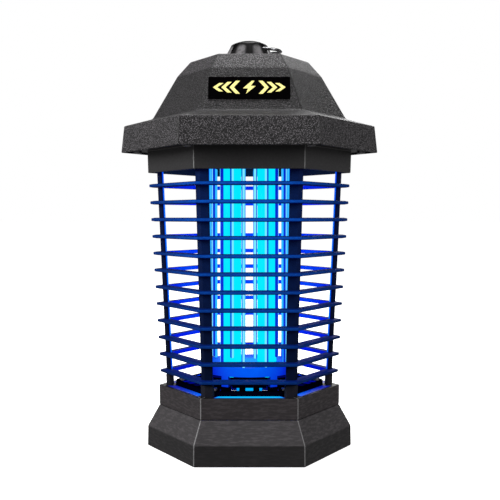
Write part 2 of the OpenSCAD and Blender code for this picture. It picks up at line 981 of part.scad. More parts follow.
// Wire loop folded to the right: two legs on one pivot axis, joined by a half-round end.
module hanging_bail() {
    wire_r = bail_d / 2;
    leg = bail_reach - wire_r - bail_half;
    color([0.35, 0.35, 0.37])
        translate([0, 0, pivot_z])
            rotate([0, bail_drop, 0]) {
                for (side = [-1, 1]) {
                    translate([0, side * bail_half, 0])
                        rotate([0, 90, 0])
                            cylinder(r = wire_r, h = leg);
                    translate([0, side * bail_half, 0])
                        sphere(r = wire_r);
                    translate([0, side * pin_in, 0])
                        rotate([-side * 90, 0, 0])
                            cylinder(r = wire_r, h = bail_half - pin_in);
                }
                translate([leg, 0, 0])
                    rotate([0, 0, -90])
                        rotate_extrude(angle = 180)
                            translate([bail_half, 0])
                                circle(r = wire_r);
            }
}

collection_tray();
foot_pads();
base_ring();
floor_grille();
floor_screws();
guard_posts();
for (i = [1 : ring_count])
    guard_ring(i);
post_foot_screws();
post_head_screws();
head_frame();
upper_insulator();
live_rods();
live_bus_ring();
lower_insulator_front();
lower_insulator_rear();
earth_rods();
earth_bus_ring();
earth_strap();
uv_lamp();
lamp_base();
lamp_holder();
holder_bracket();
lamp_leads();
board_pillars();
circuit_board();
board_screws();
hv_transformer();
hv_capacitors();
ballast_choke();
smoothing_capacitor();
terminal_block();
fuse();
hv_lead();
hood();
hood_screws();
name_plate();
plate_motif();
cord_gland();
cap_gasket();
hanger_cap();
hanger_bolt();
hanger_washer();
hanging_bail();
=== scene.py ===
"""Looks of a lantern-style electric bug zapper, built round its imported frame.

Shapes are worked out in millimetres and turned to metres when a mesh is made.
The frame's +Z is up, the hexagon's front face looks towards -Y, and its corners lie at bearings 0, 60 ... 300.
"""

import json
import logging
import math
from collections.abc import Mapping, Sequence
from dataclasses import dataclass
from enum import Enum

import bmesh
import bpy
import numpy as np
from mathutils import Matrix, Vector
from numpy.typing import NDArray

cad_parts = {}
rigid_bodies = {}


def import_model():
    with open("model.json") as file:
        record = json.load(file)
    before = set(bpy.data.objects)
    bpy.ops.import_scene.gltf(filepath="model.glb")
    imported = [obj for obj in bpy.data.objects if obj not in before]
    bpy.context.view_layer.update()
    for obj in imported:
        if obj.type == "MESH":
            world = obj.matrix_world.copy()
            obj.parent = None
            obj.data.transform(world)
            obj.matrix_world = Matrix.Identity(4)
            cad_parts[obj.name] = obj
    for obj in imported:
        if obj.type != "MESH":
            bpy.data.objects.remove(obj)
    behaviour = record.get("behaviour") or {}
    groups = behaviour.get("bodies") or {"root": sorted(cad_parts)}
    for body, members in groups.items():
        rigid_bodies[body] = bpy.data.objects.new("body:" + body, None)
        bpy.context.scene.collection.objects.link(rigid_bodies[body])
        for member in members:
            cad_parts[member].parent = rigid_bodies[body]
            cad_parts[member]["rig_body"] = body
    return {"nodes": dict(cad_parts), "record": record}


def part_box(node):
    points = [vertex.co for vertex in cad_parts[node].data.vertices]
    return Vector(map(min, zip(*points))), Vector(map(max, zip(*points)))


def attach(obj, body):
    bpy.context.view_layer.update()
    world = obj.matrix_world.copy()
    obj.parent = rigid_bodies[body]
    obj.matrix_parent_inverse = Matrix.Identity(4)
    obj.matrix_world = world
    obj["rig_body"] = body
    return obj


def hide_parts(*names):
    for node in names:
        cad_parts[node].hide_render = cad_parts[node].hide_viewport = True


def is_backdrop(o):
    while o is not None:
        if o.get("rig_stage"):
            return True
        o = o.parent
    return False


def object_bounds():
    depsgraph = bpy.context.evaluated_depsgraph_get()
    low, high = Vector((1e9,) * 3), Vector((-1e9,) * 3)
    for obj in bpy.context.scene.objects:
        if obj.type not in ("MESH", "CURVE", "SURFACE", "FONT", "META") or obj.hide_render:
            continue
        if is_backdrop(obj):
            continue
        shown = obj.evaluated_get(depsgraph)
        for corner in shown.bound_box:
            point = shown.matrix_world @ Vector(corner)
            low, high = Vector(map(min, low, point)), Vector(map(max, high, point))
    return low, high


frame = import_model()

Array = NDArray[np.float64]
Colour = tuple[float, float, float]

log = logging.getLogger("bug_zapper")

MM = 0.001
COS30 = math.cos(math.radians(30))
TAN30 = math.tan(math.radians(30))
CORNERS = np.arange(0.0, 360.0, 60.0)
ROD_REACH = 34.0        # from the axis to each rod's middle
NEAR_AXIS = 1e-5        # keeps a division by the squared distance from the axis from failing


# ---------- surfaces ----------


def extent(node: str) -> tuple[Array, Array]:
    """Finds where a frame part is.

    Args:
        node: Name of the frame part.

    Returns:
        Its lowest and highest corners, in millimetres.
    """
    low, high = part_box(node)
    return np.array(low) / MM, np.array(high) / MM


def rounded(corners: Array | Sequence[Sequence[float]], radius: Array | float, steps: int = 3) -> Array:
    """Rounds the corners of a closed outline.

    Each corner P gives way to the curve (1-t)^2 A + 2t(1-t) P + t^2 B, where A and B lie on the two sides,
    the radius away from P or 0.45 of the shorter side, whichever is less. Columns past the second ride along.

    Args:
        corners: Outline points, one a row. The first two columns are lengths.
        radius: One radius for all corners, or one for each.
        steps: Pieces that each curve is divided into.

    Returns:
        The outline's points, steps + 1 for each corner.
    """
    points = np.asarray(corners, float)
    before = np.roll(points, 1, axis=0) - points
    after = np.roll(points, -1, axis=0) - points
    back = np.maximum(np.linalg.norm(before[:, :2], axis=1), 1e-9)
    ahead = np.maximum(np.linalg.norm(after[:, :2], axis=1), 1e-9)
    cut = np.minimum(np.broadcast_to(np.asarray(radius, float), len(points)), 0.45 * np.minimum(back, ahead))
    start = points + before * (cut / back)[:, None]
    end = points + after * (cut / ahead)[:, None]
    t = np.linspace(0.0, 1.0, steps + 1)[None, :, None]
    curve = (1 - t) ** 2 * start[:, None] + 2 * t * (1 - t) * points[:, None] + t**2 * end[:, None]
    return curve.reshape(-1, points.shape[1])


def hexagon(profile: Array, arc: int = 4) -> tuple[Array, Array]:
    """Carries a profile round a hexagon with rounded corners.

    A profile row is (apothem a, height z, corner radius c). Round corner k, at bearing 60k, the point at angle phi is
    (a - c) / cos 30 along the bearing plus c along phi, and phi runs from 30 degrees before the bearing to 30 after.

    Args:
        profile: Rows of apothem, height and corner radius.
        arc: Pieces that each rounded corner is divided into.

    Returns:
        The grid of points, and how near each is to the middle of a corner, from 0 to 1, used for a painted highlight.
    """
    apothem, height, corner = (column[:, None, None] for column in profile.T)
    bearing = np.radians(CORNERS)[:, None]
    swing = np.radians(np.linspace(-30.0, 30.0, arc + 1))[None, :]
    phi = bearing + swing
    reach = (apothem - corner) / COS30
    x = reach * np.cos(bearing) + corner * np.cos(phi)
    y = reach * np.sin(bearing) + corner * np.sin(phi)
    grid = np.stack(np.broadcast_arrays(x, y, height), axis=-1)
    # share of painted highlight along the upright rounded corners
    painted_light = np.broadcast_to(np.cos(3 * swing) ** 2, grid.shape[:3])
    return grid.reshape(len(profile), -1, 3), painted_light.reshape(len(profile), -1)


def lathe(profile: Array | Sequence[Sequence[float]], steps: int = 48) -> Array:
    """Turns a profile about the axis: each row (radius, height) becomes a circle of that radius at that height.

    Args:
        profile: Rows of radius and height.
        steps: Points round each circle.

    Returns:
        The grid of points.
    """
    radius, height = (column[:, None] for column in np.asarray(profile, float).T)
    turn = np.linspace(0.0, 2 * math.pi, steps, endpoint=False)[None, :]
    return np.stack(np.broadcast_arrays(radius * np.cos(turn), radius * np.sin(turn), height), axis=-1)


def prism(section: Array, low: float, high: float, edge: float, steps: int = 2) -> Array:
    """Raises a flat section into an upright bar with rounded ends.

    At the angle t past an end the section is drawn in by edge (1 - sin t), at edge (1 - cos t) from the end,
    and a point at the section's middle closes each end.

    Args:
        section: Outline points (x, y).
        low: Height of the lower end.
        high: Height of the upper end.
        edge: Radius of the rounding at the ends.
        steps: Pieces that each rounding is divided into.

    Returns:
        The grid of points.
    """
    middle = (section.min(0) + section.max(0)) / 2
    half = (section.max(0) - section.min(0)) / 2
    t = np.linspace(0.0, math.pi / 2, steps + 1)
    keep = 1 - edge * (1 - np.sin(t))[:, None] / half
    rise = edge * (1 - np.cos(t))
    shut = np.zeros((1, 2))
    scale = np.concatenate([shut, keep, keep[::-1], shut])
    height = np.concatenate([[low], low + rise, high - rise[::-1], [high]])
    flat = middle + (section - middle)[None] * scale[:, None, :]
    return np.concatenate([flat, np.broadcast_to(height[:, None, None], (*flat.shape[:2], 1))], axis=-1)


def slab(low: Sequence[float], high: Sequence[float], edge: float) -> Array:
    """A rectangular block with rounded edges: a rounded rectangle raised by prism.

    Args:
        low: Lowest corner.
        high: Highest corner.
        edge: Radius of the edges.

    Returns:
        The grid of points.
    """
    (x0, y0, z0), (x1, y1, z1) = low, high
    return prism(rounded([(x0, y0), (x1, y0), (x1, y1), (x0, y1)], edge), z0, z1, edge)


def copies(grid: Array, bearings: Array | Sequence[float], reach: float = 0.0) -> Array:
    """Repeats a grid round the axis: moved out along +X by the reach, then turned to each bearing.

    Args:
        grid: The grid to repeat.
        bearings: Angles in degrees.
        reach: Distance from the axis.

    Returns:
        A stack of grids.
    """
    angle = np.radians(np.asarray(bearings, float))[:, None, None]
    x, y, z = np.moveaxis(grid, -1, 0)
    out = x + reach
    turned = (out * np.cos(angle) - y * np.sin(angle), out * np.sin(angle) + y * np.cos(angle), z[None])
    return np.stack(np.broadcast_arrays(*turned), axis=-1)


def tube(path: Array, radius: float, across: Sequence[float], steps: int = 16) -> Array:
    """Lays a round wire along a flat path, with rounded ends.

    Ring i is the circle about point i in the plane of the path's normal and the direction square to both.
    Past each end the rings shrink by sin t and move on by the radius times cos t.

    Args:
        path: Points of the path, which lies in one plane.
        radius: Radius of the wire.
        across: Normal of the path's plane.
        steps: Points round each ring.

    Returns:
        The grid of points.
    """
    along = np.gradient(path, axis=0)
    along /= np.linalg.norm(along, axis=1)[:, None]
    normal = np.asarray(across, float)
    t = np.linspace(0.0, math.pi / 2, 5)[:-1, None]
    start = path[0] - along[0] * radius * np.cos(t)
    end = (path[-1] + along[-1] * radius * np.cos(t))[::-1]
    centres = np.concatenate([start, path, end])
    headings = np.concatenate([np.repeat(along[:1], len(t), 0), along, np.repeat(along[-1:], len(t), 0)])
    radii = radius * np.concatenate([np.sin(t), np.ones((len(path), 1)), np.sin(t)[::-1]])
    side = np.cross(normal, headings)
    turn = np.linspace(0.0, 2 * math.pi, steps, endpoint=False)[None, :, None]
    ring = np.cos(turn) * side[:, None] + np.sin(turn) * normal
    return centres[:, None] + radii[:, None] * ring


class Skin:
    """Grids of points in millimetres, gathered into the mesh of one piece."""

    def __init__(self) -> None:
        """Starts with no grid."""
        self.points: list[Array] = []
        self.quads: list[Array] = []
        self.painted_light: list[Array] = []
        self.count = 0

    def add(self, grid: Array, painted_light: Array | float = 0.0, ring: bool = False) -> "Skin":
        """Adds a grid, or a stack of equal grids, whose columns close round.

        Quad (i, j) joins points (i, j), (i, j+1), (i+1, j+1) and (i+1, j).

        Args:
            grid: Points as (rows, columns, 3), or (copies, rows, columns, 3).
            painted_light: How much painted highlight each point carries, from 0 to 1.
            ring: Whether the last row joins the first.

        Returns:
            This skin.
        """
        stack = grid if grid.ndim == 4 else grid[None]
        index = self.count + np.arange(stack[..., 0].size).reshape(stack.shape[:3])
        beside = np.roll(index, -1, axis=2)
        if ring:
            index, beside = (np.concatenate([part, part[:, :1]], axis=1) for part in (index, beside))
        quads = np.stack([index[:, :-1], beside[:, :-1], beside[:, 1:], index[:, 1:]], axis=-1)
        self.points.append(stack.reshape(-1, 3))
        self.quads.append(quads.reshape(-1, 4))
        self.painted_light.append(np.broadcast_to(np.asarray(painted_light, float), stack.shape[:3]).reshape(-1))
        self.count += stack[..., 0].size
        return self

    def build(self, name: str) -> bpy.types.Object:
        """Makes the mesh, closes its seams and poles, and turns its faces outwards.

        Args:
            name: Name of the piece.

        Returns:
            The piece, at the origin.
        """
        mesh = bpy.data.meshes.new(name)
        mesh.from_pydata((np.concatenate(self.points) * MM).tolist(), [], np.concatenate(self.quads).tolist())
        # per-point share of painted highlight, read by the finishes
        mesh.attributes.new("painted_light", "FLOAT", "POINT").data.foreach_set("value", np.concatenate(self.painted_light))
        work = bmesh.new()
        work.from_mesh(mesh)
        bmesh.ops.remove_doubles(work, verts=work.verts, dist=2e-6)
        bmesh.ops.recalc_face_normals(work, faces=work.faces)
        work.to_mesh(mesh)
        work.free()
        piece = bpy.data.objects.new(name, mesh)
        bpy.context.scene.collection.objects.link(piece)
        return piece


def pierced(piece: bpy.types.Object, holes: Skin) -> bpy.types.Object:
    """Cuts holes through a piece.

    Args:
        piece: The piece to cut.
        holes: Closed shapes that fill the holes.

    Returns:
        The same piece with its new mesh.
    """
    cutter = holes.build(f"{piece.name}_cutter")
    cut = piece.modifiers.new("holes", "BOOLEAN")
    cut.operation = "DIFFERENCE"
    cut.solver = "EXACT"
    cut.object = cutter
    bpy.context.view_layer.update()
    made = bpy.data.meshes.new_from_object(piece.evaluated_get(bpy.context.evaluated_depsgraph_get()))
    piece.modifiers.clear()
    piece.data = made
    bpy.data.objects.remove(cutter)
    return piece


def smoothed(piece: bpy.types.Object, sharp: float = 42.0) -> bpy.types.Object:
    """Shades a piece so that flat faces look flat, its rounded edges catch light, and only hard edges stay hard.

    Args:
        piece: The piece.
        sharp: Angle between faces, in degrees, past which an edge stays hard.

    Returns:
        The same piece.
    """
    piece.data.shade_smooth()
    piece.data.set_sharp_from_angle(angle=math.radians(sharp))
    normals = piece.modifiers.new("even_normals", "WEIGHTED_NORMAL")
    normals.keep_sharp = True
    return piece


def softened(node: str, width: float) -> bpy.types.Object:
    """Copies a frame part and rounds its edges.

    Args:
        node: Name of the frame part.
        width: Width of the rounding, in millimetres.

    Returns:
        The new piece, which isn't finished yet.
    """
    mesh = frame["nodes"][node].data.copy()
    work = bmesh.new()
    work.from_mesh(mesh)
    bmesh.ops.remove_doubles(work, verts=work.verts, dist=2e-6)
    bmesh.ops.dissolve_limit(work, angle_limit=math.radians(0.5), verts=work.verts, edges=work.edges)
    work.to_mesh(mesh)
    work.free()
    piece = bpy.data.objects.new(f"{node}_soft", mesh)
    bpy.context.scene.collection.objects.link(piece)
    edge = piece.modifiers.new("edges", "BEVEL")
    edge.width = width * MM
    edge.segments = 2
    edge.limit_method = "ANGLE"
    edge.angle_limit = math.radians(32)
    edge.use_clamp_overlap = True
    return smoothed(piece)


# ---------- finishes ----------


class Wire:
    """A number or vector on its way between shader nodes, with arithmetic."""

    def __init__(self, recipe: "Recipe", socket: bpy.types.NodeSocket) -> None:
        """Wraps a node's output.

        Args:
            recipe: The material being made.
            socket: The output.
        """
        self.recipe = recipe
        self.socket = socket

    def _math(self, operation: str, *operands: "Wire | float", clamp: bool = False) -> "Wire":
        """Adds one Math node.

        Args:
            operation: The node's operation.
            operands: Its inputs in order.
            clamp: Whether its result is held between 0 and 1.

        Returns:
            The result.
        """
        return self.recipe.wire("Math", {"operation": operation, "use_clamp": clamp}, dict(enumerate(operands)))

    def __add__(self, other: "Wire | float") -> "Wire":
        """Sum."""
        return self._math("ADD", self, other)

    __radd__ = __add__

    def __sub__(self, other: "Wire | float") -> "Wire":
        """Difference."""
        return self._math("SUBTRACT", self, other)

    def __rsub__(self, other: "Wire | float") -> "Wire":
        """Difference, the other way round."""
        return self._math("SUBTRACT", other, self)

    def __mul__(self, other: "Wire | float") -> "Wire":
        """Product."""
        return self._math("MULTIPLY", self, other)

    __rmul__ = __mul__

    def __truediv__(self, other: "Wire | float") -> "Wire":
        """Quotient."""
        return self._math("DIVIDE", self, other)

    def __rtruediv__(self, other: "Wire | float") -> "Wire":
        """Quotient, the other way round."""
        return self._math("DIVIDE", other, self)

    def __neg__(self) -> "Wire":
        """Negative."""
        return self._math("MULTIPLY", self, -1.0)

    def held(self) -> "Wire":
        """The value held between 0 and 1."""
        return self._math("ADD", self, 0.0, clamp=True)

    def positive(self) -> "Wire":
        """The value, or 0 where it is negative."""
        return self._math("MAXIMUM", self, 0.0)

    def root(self) -> "Wire":
        """Square root."""
        return self._math("SQRT", self)

    def step(self, low: float, high: float) -> "Wire":
        """A smooth step.

        Args:
            low: Value that gives 0.
            high: Value that gives 1.

        Returns:
            The step, from 0 to 1.
        """
        sockets = {"Value": self, "From Min": low, "From Max": high}
        return self.recipe.wire("MapRange", {"interpolation_type": "SMOOTHSTEP"}, sockets)


Feed = Wire | float | Sequence[float]


class Recipe:
    """The nodes of one material, built round one Principled shader."""

    def __init__(self, name: str) -> None:
        """Starts a material.

        Args:
            name: Its name.
        """
        self.material = bpy.data.materials.new(name)
        self.material.use_nodes = True
        self.tree = self.material.node_tree
        self.shader = self.tree.nodes["Principled BSDF"]
        self.place = self.wire("TexCoord", {}, {}, "Object")

    def node(self, kind: str, settings: Mapping[str, object], sockets: Mapping[str | int, Feed]) -> bpy.types.Node:
        """Adds a node.

        Args:
            kind: The node's type, without its "ShaderNode" or "ShaderNodeTex" start.
            settings: Its settings, which are set first. "stops" are a ramp's (place, colour) pairs.
            sockets: Values or wires for its inputs, by name or place.

        Returns:
            The node.
        """
        made = self.tree.nodes.new(f"ShaderNode{kind}")
        for key, value in settings.items():
            if key == "stops":
                self._set_stops(made.color_ramp, value)
            else:
                setattr(made, key, value)
        self._feed(made, sockets)
        return made

    def wire(
        self, kind: str, settings: Mapping[str, object], sockets: Mapping[str | int, Feed], output: str | int = 0
    ) -> Wire:
        """Adds a node and takes one of its outputs.

        Args:
            kind: The node's type, as for node.
            settings: Its settings.
            sockets: Values or wires for its inputs.
            output: The output, by name or place.

        Returns:
            The output.
        """
        return Wire(self, self.node(kind, settings, sockets).outputs[output])

    def _set_stops(self, ramp: bpy.types.ColorRamp, stops: Sequence[tuple[float, Colour]]) -> None:
        """Sets a ramp's stops.

        Args:
            ramp: The ramp, which starts with two stops.
            stops: Place and colour of each.
        """
        for place, _ in stops[2:]:
            ramp.elements.new(place)
        for element, (place, colour) in zip(ramp.elements, stops):
            element.position = place
            element.color = (*colour, 1.0)

    def _feed(self, node: bpy.types.Node, sockets: Mapping[str | int, Feed]) -> None:
        """Links or sets a node's inputs.

        Args:
            node: The node.
            sockets: Values or wires, by name or place.
        """
        for key, value in sockets.items():
            if isinstance(value, Wire):
                self.tree.links.new(value.socket, node.inputs[key])
            else:
                node.inputs[key].default_value = value

    def parts(self, vector: Wire) -> tuple[Wire, Wire, Wire]:
        """The x, y and z of a vector."""
        return tuple(Wire(self, out) for out in self.node("SeparateXYZ", {}, {0: vector}).outputs)

    def stretched(self, factors: Sequence[float]) -> Wire:
        """The place on the piece, stretched.

        Args:
            factors: Factor along each axis.

        Returns:
            The stretched place.
        """
        return self.wire("VectorMath", {"operation": "MULTIPLY"}, {0: self.place, 1: factors})

    def noise(self, size: float, detail: float = 2.0, rough: float = 0.5, at: Wire | None = None) -> Wire:
        """Cloudy variation.

        Args:
            size: Size of a cloud, in millimetres.
            detail: Number of finer layers.
            rough: Strength of the finer layers.
            at: Where it is read, or None for the place on the piece.

        Returns:
            The variation, from 0 to 1.
        """
        sockets = {"Vector": at or self.place, "Scale": 1 / (size * MM), "Detail": detail, "Roughness": rough}
        return self.wire("TexNoise", {}, sockets)

    def cells(self, size: float) -> Wire:
        """Rounded cells, like pebbles.

        Args:
            size: Size of a cell, in millimetres.

        Returns:
            Distance from the middle of the cell, from 0 to about 1.
        """
        sockets = {"Vector": self.place, "Scale": 1 / (size * MM), "Smoothness": 0.35}
        return self.wire("TexVoronoi", {"feature": "SMOOTH_F1"}, sockets, "Distance")

    def attribute(self, name: str) -> Wire:
        """A number stored on the piece's points."""
        return self.wire("Attribute", {"attribute_name": name}, {}, "Fac")

    def mixed(self, share: Wire | float, first: Wire | Colour, second: Wire | Colour) -> Wire:
        """Mixes two colours.

        Args:
            share: Share of the second.
            first: First colour.
            second: Second colour.

        Returns:
            The mix.
        """
        colours = (value if isinstance(value, Wire) else (*value, 1.0) for value in (first, second))
        return self.wire("Mix", {"data_type": "RGBA"}, dict(zip((0, 6, 7), (share, *colours))), 2)

    def ramp(self, value: Wire, stops: Sequence[tuple[float, Colour]]) -> Wire:
        """A colour that follows a value.

        Args:
            value: The value, from 0 to 1.
            stops: Place and colour of each stop.

        Returns:
            The colour.
        """
        return self.wire("ValToRGB", {"stops": stops}, {0: value})

    def scaled(self, colour: Wire, factor: Wire) -> Wire:
        """A colour times a number."""
        return self.wire("VectorMath", {"operation": "SCALE"}, {0: colour, "Scale": factor})

    def bump(self, height: Wire, depth: float, strength: float = 1.0) -> Wire:
        """Relief.

        Args:
            height: Height, from 0 to 1.
            depth: What a height of 1 stands for, in millimetres.
            strength: Strength of the relief.

        Returns:
            The normal.
        """
        return self.wire("Bump", {}, {"Height": height, "Distance": depth * MM, "Strength": strength})

    def normal(self) -> tuple[Wire, Wire, Wire]:
        """The x, y and z of the surface's normal."""
        return self.parts(self.wire("NewGeometry", {}, {}, "Normal"))

    def lamp_light(self, flat: float = 1.0, through: float = 0.0) -> Wire:
        """Light that reaches the surface from the lamp, taken as a bright line on the axis from its foot to its top.

        With r the distance from the axis and N the normal, the parts are: N towards the axis times half the sum of
        h / root(r^2 + h^2) for the heights h to the line's two ends; N upwards times half of r^2 times the
        difference of 1 / (r^2 + u^2) for the ends u of the stretch of line above; and the same downwards. The sum
        fades as 1 / r, is 1 on a facing surface at the rods and is lost above the ceiling. What shines through a thin
        wall is strongest at the front and back, between the lamp's two legs.

        Args:
            flat: Share of the light kept on faces that look up or down.
            through: Share of the light that passes through a wall to its outer face.

        Returns:
            The light.
        """
        low, high = extent("uv_lamp")
        foot, top, rods = low[2] * MM, high[2] * MM, ROD_REACH * MM
        x, y, z = self.parts(self.place)
        nx, ny, nz = self.normal()
        square = x * x + y * y + NEAR_AXIS
        radius = square.root()
        facing = (nx * x + ny * y) / radius
        between = y * y / square
        inward = (-facing).positive() + facing.positive() * between * through
        rise, drop = top - z, z - foot
        along = 0.5 * (rise / (square + rise * rise).root() + drop / (square + drop * drop).root())
        over, under = rise.positive(), drop.positive()
        beyond, below = (-rise).positive(), (-drop).positive()
        down_on = 0.5 * square * (1 / (square + below * below) - 1 / (square + over * over))
        up_on = 0.5 * square * (1 / (square + beyond * beyond) - 1 / (square + under * under))
        total = inward * along.positive() + (nz.positive() * down_on + (-nz).positive() * up_on) * flat
        ceiling = extent("guard_posts")[1][2] * MM
        return total * (rods / radius) * (1 - z.step(ceiling - 2 * MM, ceiling))

    def behind_posts(self) -> Wire:
        """Shadow that the posts cast outwards: 1 near a corner, where the cosine of 6 bearings nears 1, else 0."""
        x, y, _ = self.parts(self.place)
        bearing = self.wire("Math", {"operation": "ARCTAN2"}, {0: y, 1: x})
        return self.wire("Math", {"operation": "COSINE"}, {0: bearing * 6.0}).step(0.74, 0.84)

    def between_legs(self) -> Wire:
        """How squarely a place lies to the front or back, between the lamp's legs: y^2 / r^2."""
        x, y, _ = self.parts(self.place)
        return y * y / (x * x + y * y + NEAR_AXIS)

    def hexagon_reach(self) -> Wire:
        """Apothem of the hexagon through a place: the largest of |y| and |y / 2 +- x cos 30|."""
        x, y, _ = self.parts(self.place)
        reach = (y * y).root()
        for side in (COS30, -COS30):
            slant = y * 0.5 + x * side
            reach = reach + ((slant * slant).root() - reach).positive()
        return reach

    def level(self) -> Wire:
        """How level the surface is: 1 on flat tops and undersides, 0 on upright faces."""
        _, _, nz = self.normal()
        return (nz * nz).step(0.35, 0.85)

    def finished(self, **sockets: Feed) -> bpy.types.Material:
        """Sets the shader's inputs, named with _ for each space.

        Args:
            sockets: Values or wires.

        Returns:
            The material.
        """
        for key, value in sockets.items():
            filled = (*value, 1.0) if isinstance(value, tuple) else value
            self._feed(self.shader, {key.replace("_", " "): filled})
        return self.material


class Grain(Enum):
    """How a moulding's surface is textured."""

    PEBBLE = "pebble"
    BRUSHED = "brushed"
    SATIN = "satin"


@dataclass(frozen=True)
class Finish:
    """A finish and the record's slot that it stands for."""

    name: str
    slot: str

    def material(self) -> bpy.types.Material:
        """The finish's material, made the first time that it is asked for."""
        return bpy.data.materials.get(self.name) or self.make(Recipe(self.name))

    def make(self, recipe: Recipe) -> bpy.types.Material:
        """Builds the material.

        Args:
            recipe: The material being made.

        Returns:
            The material.
        """
        raise NotImplementedError(self.name)


@dataclass(frozen=True)
class Moulding(Finish):
    """Moulded plastic with a grain, cloudy tone, and a painted highlight along its rounded corners.

    The lamp's light on it has a share, a share of that on level faces (lamp_flat), and an apothem past which it is
    cut off (lit_reach). From painted_shade_from to painted_shade_to, heights in millimetres, painted shade leaves
    painted_shade_keep of the colour. level_painted_shade is the part of the colour that a lit moulding loses to
    painted shade on level faces.
    """

    tone: Colour = (0.02, 0.02, 0.02)
    # lighter tone of the grain; on the pebbled hood it is painted glints
    fleck_and_glint: Colour = (0.06, 0.06, 0.06)
    # colour of the painted highlight on rounded corners and in the cap's flutes
    highlight_tone: Colour = (0.12, 0.12, 0.12)
    grain: Grain = Grain.SATIN
    size: float = 1.2
    depth: float = 0.2
    rough: float = 0.5
    gloss: float = 0.35
    lamp_share: float = 0.0
    lamp_flat: float = 1.0
    lit_reach: float = 90.0
    # painted shade over a band of heights
    painted_shade_from: float = 0.0
    painted_shade_to: float = 0.0
    painted_shade_keep: float = 1.0
    level_painted_shade: float = 0.0

    def _grained(self, recipe: Recipe) -> tuple[Wire, Wire]:
        """Builds the grain.

        Args:
            recipe: The material being made.

        Returns:
            The grain's height, and the share of the lighter tone that goes with it.
        """
        fine = recipe.noise(0.35, 2.0)
        if self.grain is Grain.PEBBLE:
            pebble = 1 - recipe.cells(self.size)
            patch = recipe.noise(self.size * 0.8, 2.0, 0.6)
            return pebble * 0.6 + patch * 0.4, (patch * 0.65 + pebble * 0.35).step(0.5, 0.64)
        if self.grain is Grain.BRUSHED:
            streak = recipe.noise(self.size, 3.0, 0.6, recipe.stretched((0.22, 0.22, 1.0)))
            return streak * 0.8 + fine * 0.2, streak.step(0.42, 0.66)
        height = recipe.noise(self.size, 2.0) * 0.6 + fine * 0.4
        return height, height.step(0.35, 0.75) * 0.6

    def _painted_shade(self, recipe: Recipe, colour: Wire) -> Wire:
        """Paints shade: darkens the colour over a band of heights, and where the surface is level.

        Args:
            recipe: The material being made.
            colour: The colour.

        Returns:
            The darkened colour.
        """
        # painted shade over the band of heights
        if self.painted_shade_keep < 1:
            z, soft = recipe.parts(recipe.place)[2], 0.7
            above = z.step((self.painted_shade_from - soft) * MM, (self.painted_shade_from + soft) * MM)
            past = z.step((self.painted_shade_to - soft) * MM, (self.painted_shade_to + soft) * MM)
            colour = recipe.scaled(colour, 1 - (above - past) * (1 - self.painted_shade_keep))
        # painted shade on level faces of a moulding that the lamp lights
        if self.lamp_share > 0:
            colour = recipe.scaled(colour, 1 - recipe.level() * self.level_painted_shade)
        return colour

    def _glow(self, recipe: Recipe) -> Wire:
        """The lamp's light on the moulding, out to the lit reach and cut off behind the posts.

        Args:
            recipe: The material being made.

        Returns:
            The light's colour.
        """
        between = recipe.between_legs()
        inside = 1 - recipe.hexagon_reach().step((self.lit_reach - 0.5) * MM, (self.lit_reach + 0.5) * MM)
        open_to = (1 - recipe.behind_posts()) * (between * between * 0.75 + 0.25) * inside
        light = recipe.lamp_light(self.lamp_flat) * open_to * self.lamp_share
        stops = [(0.0, (0, 0, 0)), (0.3, (0, 0.01, 0.4)), (0.6, (0, 0.12, 0.9)), (1.0, (0, 0.5, 1.0))]
        return recipe.ramp(light.held(), stops)

    def make(self, recipe: Recipe) -> bpy.types.Material:
        """Builds the grain, then the colours, the relief and the light from it.

        Args:
            recipe: The material being made.

        Returns:
            The material.
        """
        cloud = recipe.noise(22.0, 3.0)
        height, share = self._grained(recipe)
        tinted = recipe.mixed(share, self.tone, self.fleck_and_glint)
        shaded = self._painted_shade(recipe, recipe.scaled(tinted, cloud * 0.3 + 0.85))
        # painted highlight on rounded corners, broken up by noise
        highlight_share = recipe.attribute("painted_light") * (recipe.noise(2.6, 3.0, 0.65).step(0.3, 0.55) * 0.5 + 0.5)
        light = {"Emission_Color": self._glow(recipe), "Emission_Strength": 1.0} if self.lamp_share > 0 else {}
        return recipe.finished(
            Base_Color=recipe.mixed(highlight_share.held(), shaded, self.highlight_tone),
            Roughness=(share * -0.12 + cloud * 0.1 + self.rough).held(),
            Normal=recipe.bump(height, self.depth, 0.8),
            Specular_IOR_Level=self.gloss,
            **light,
        )


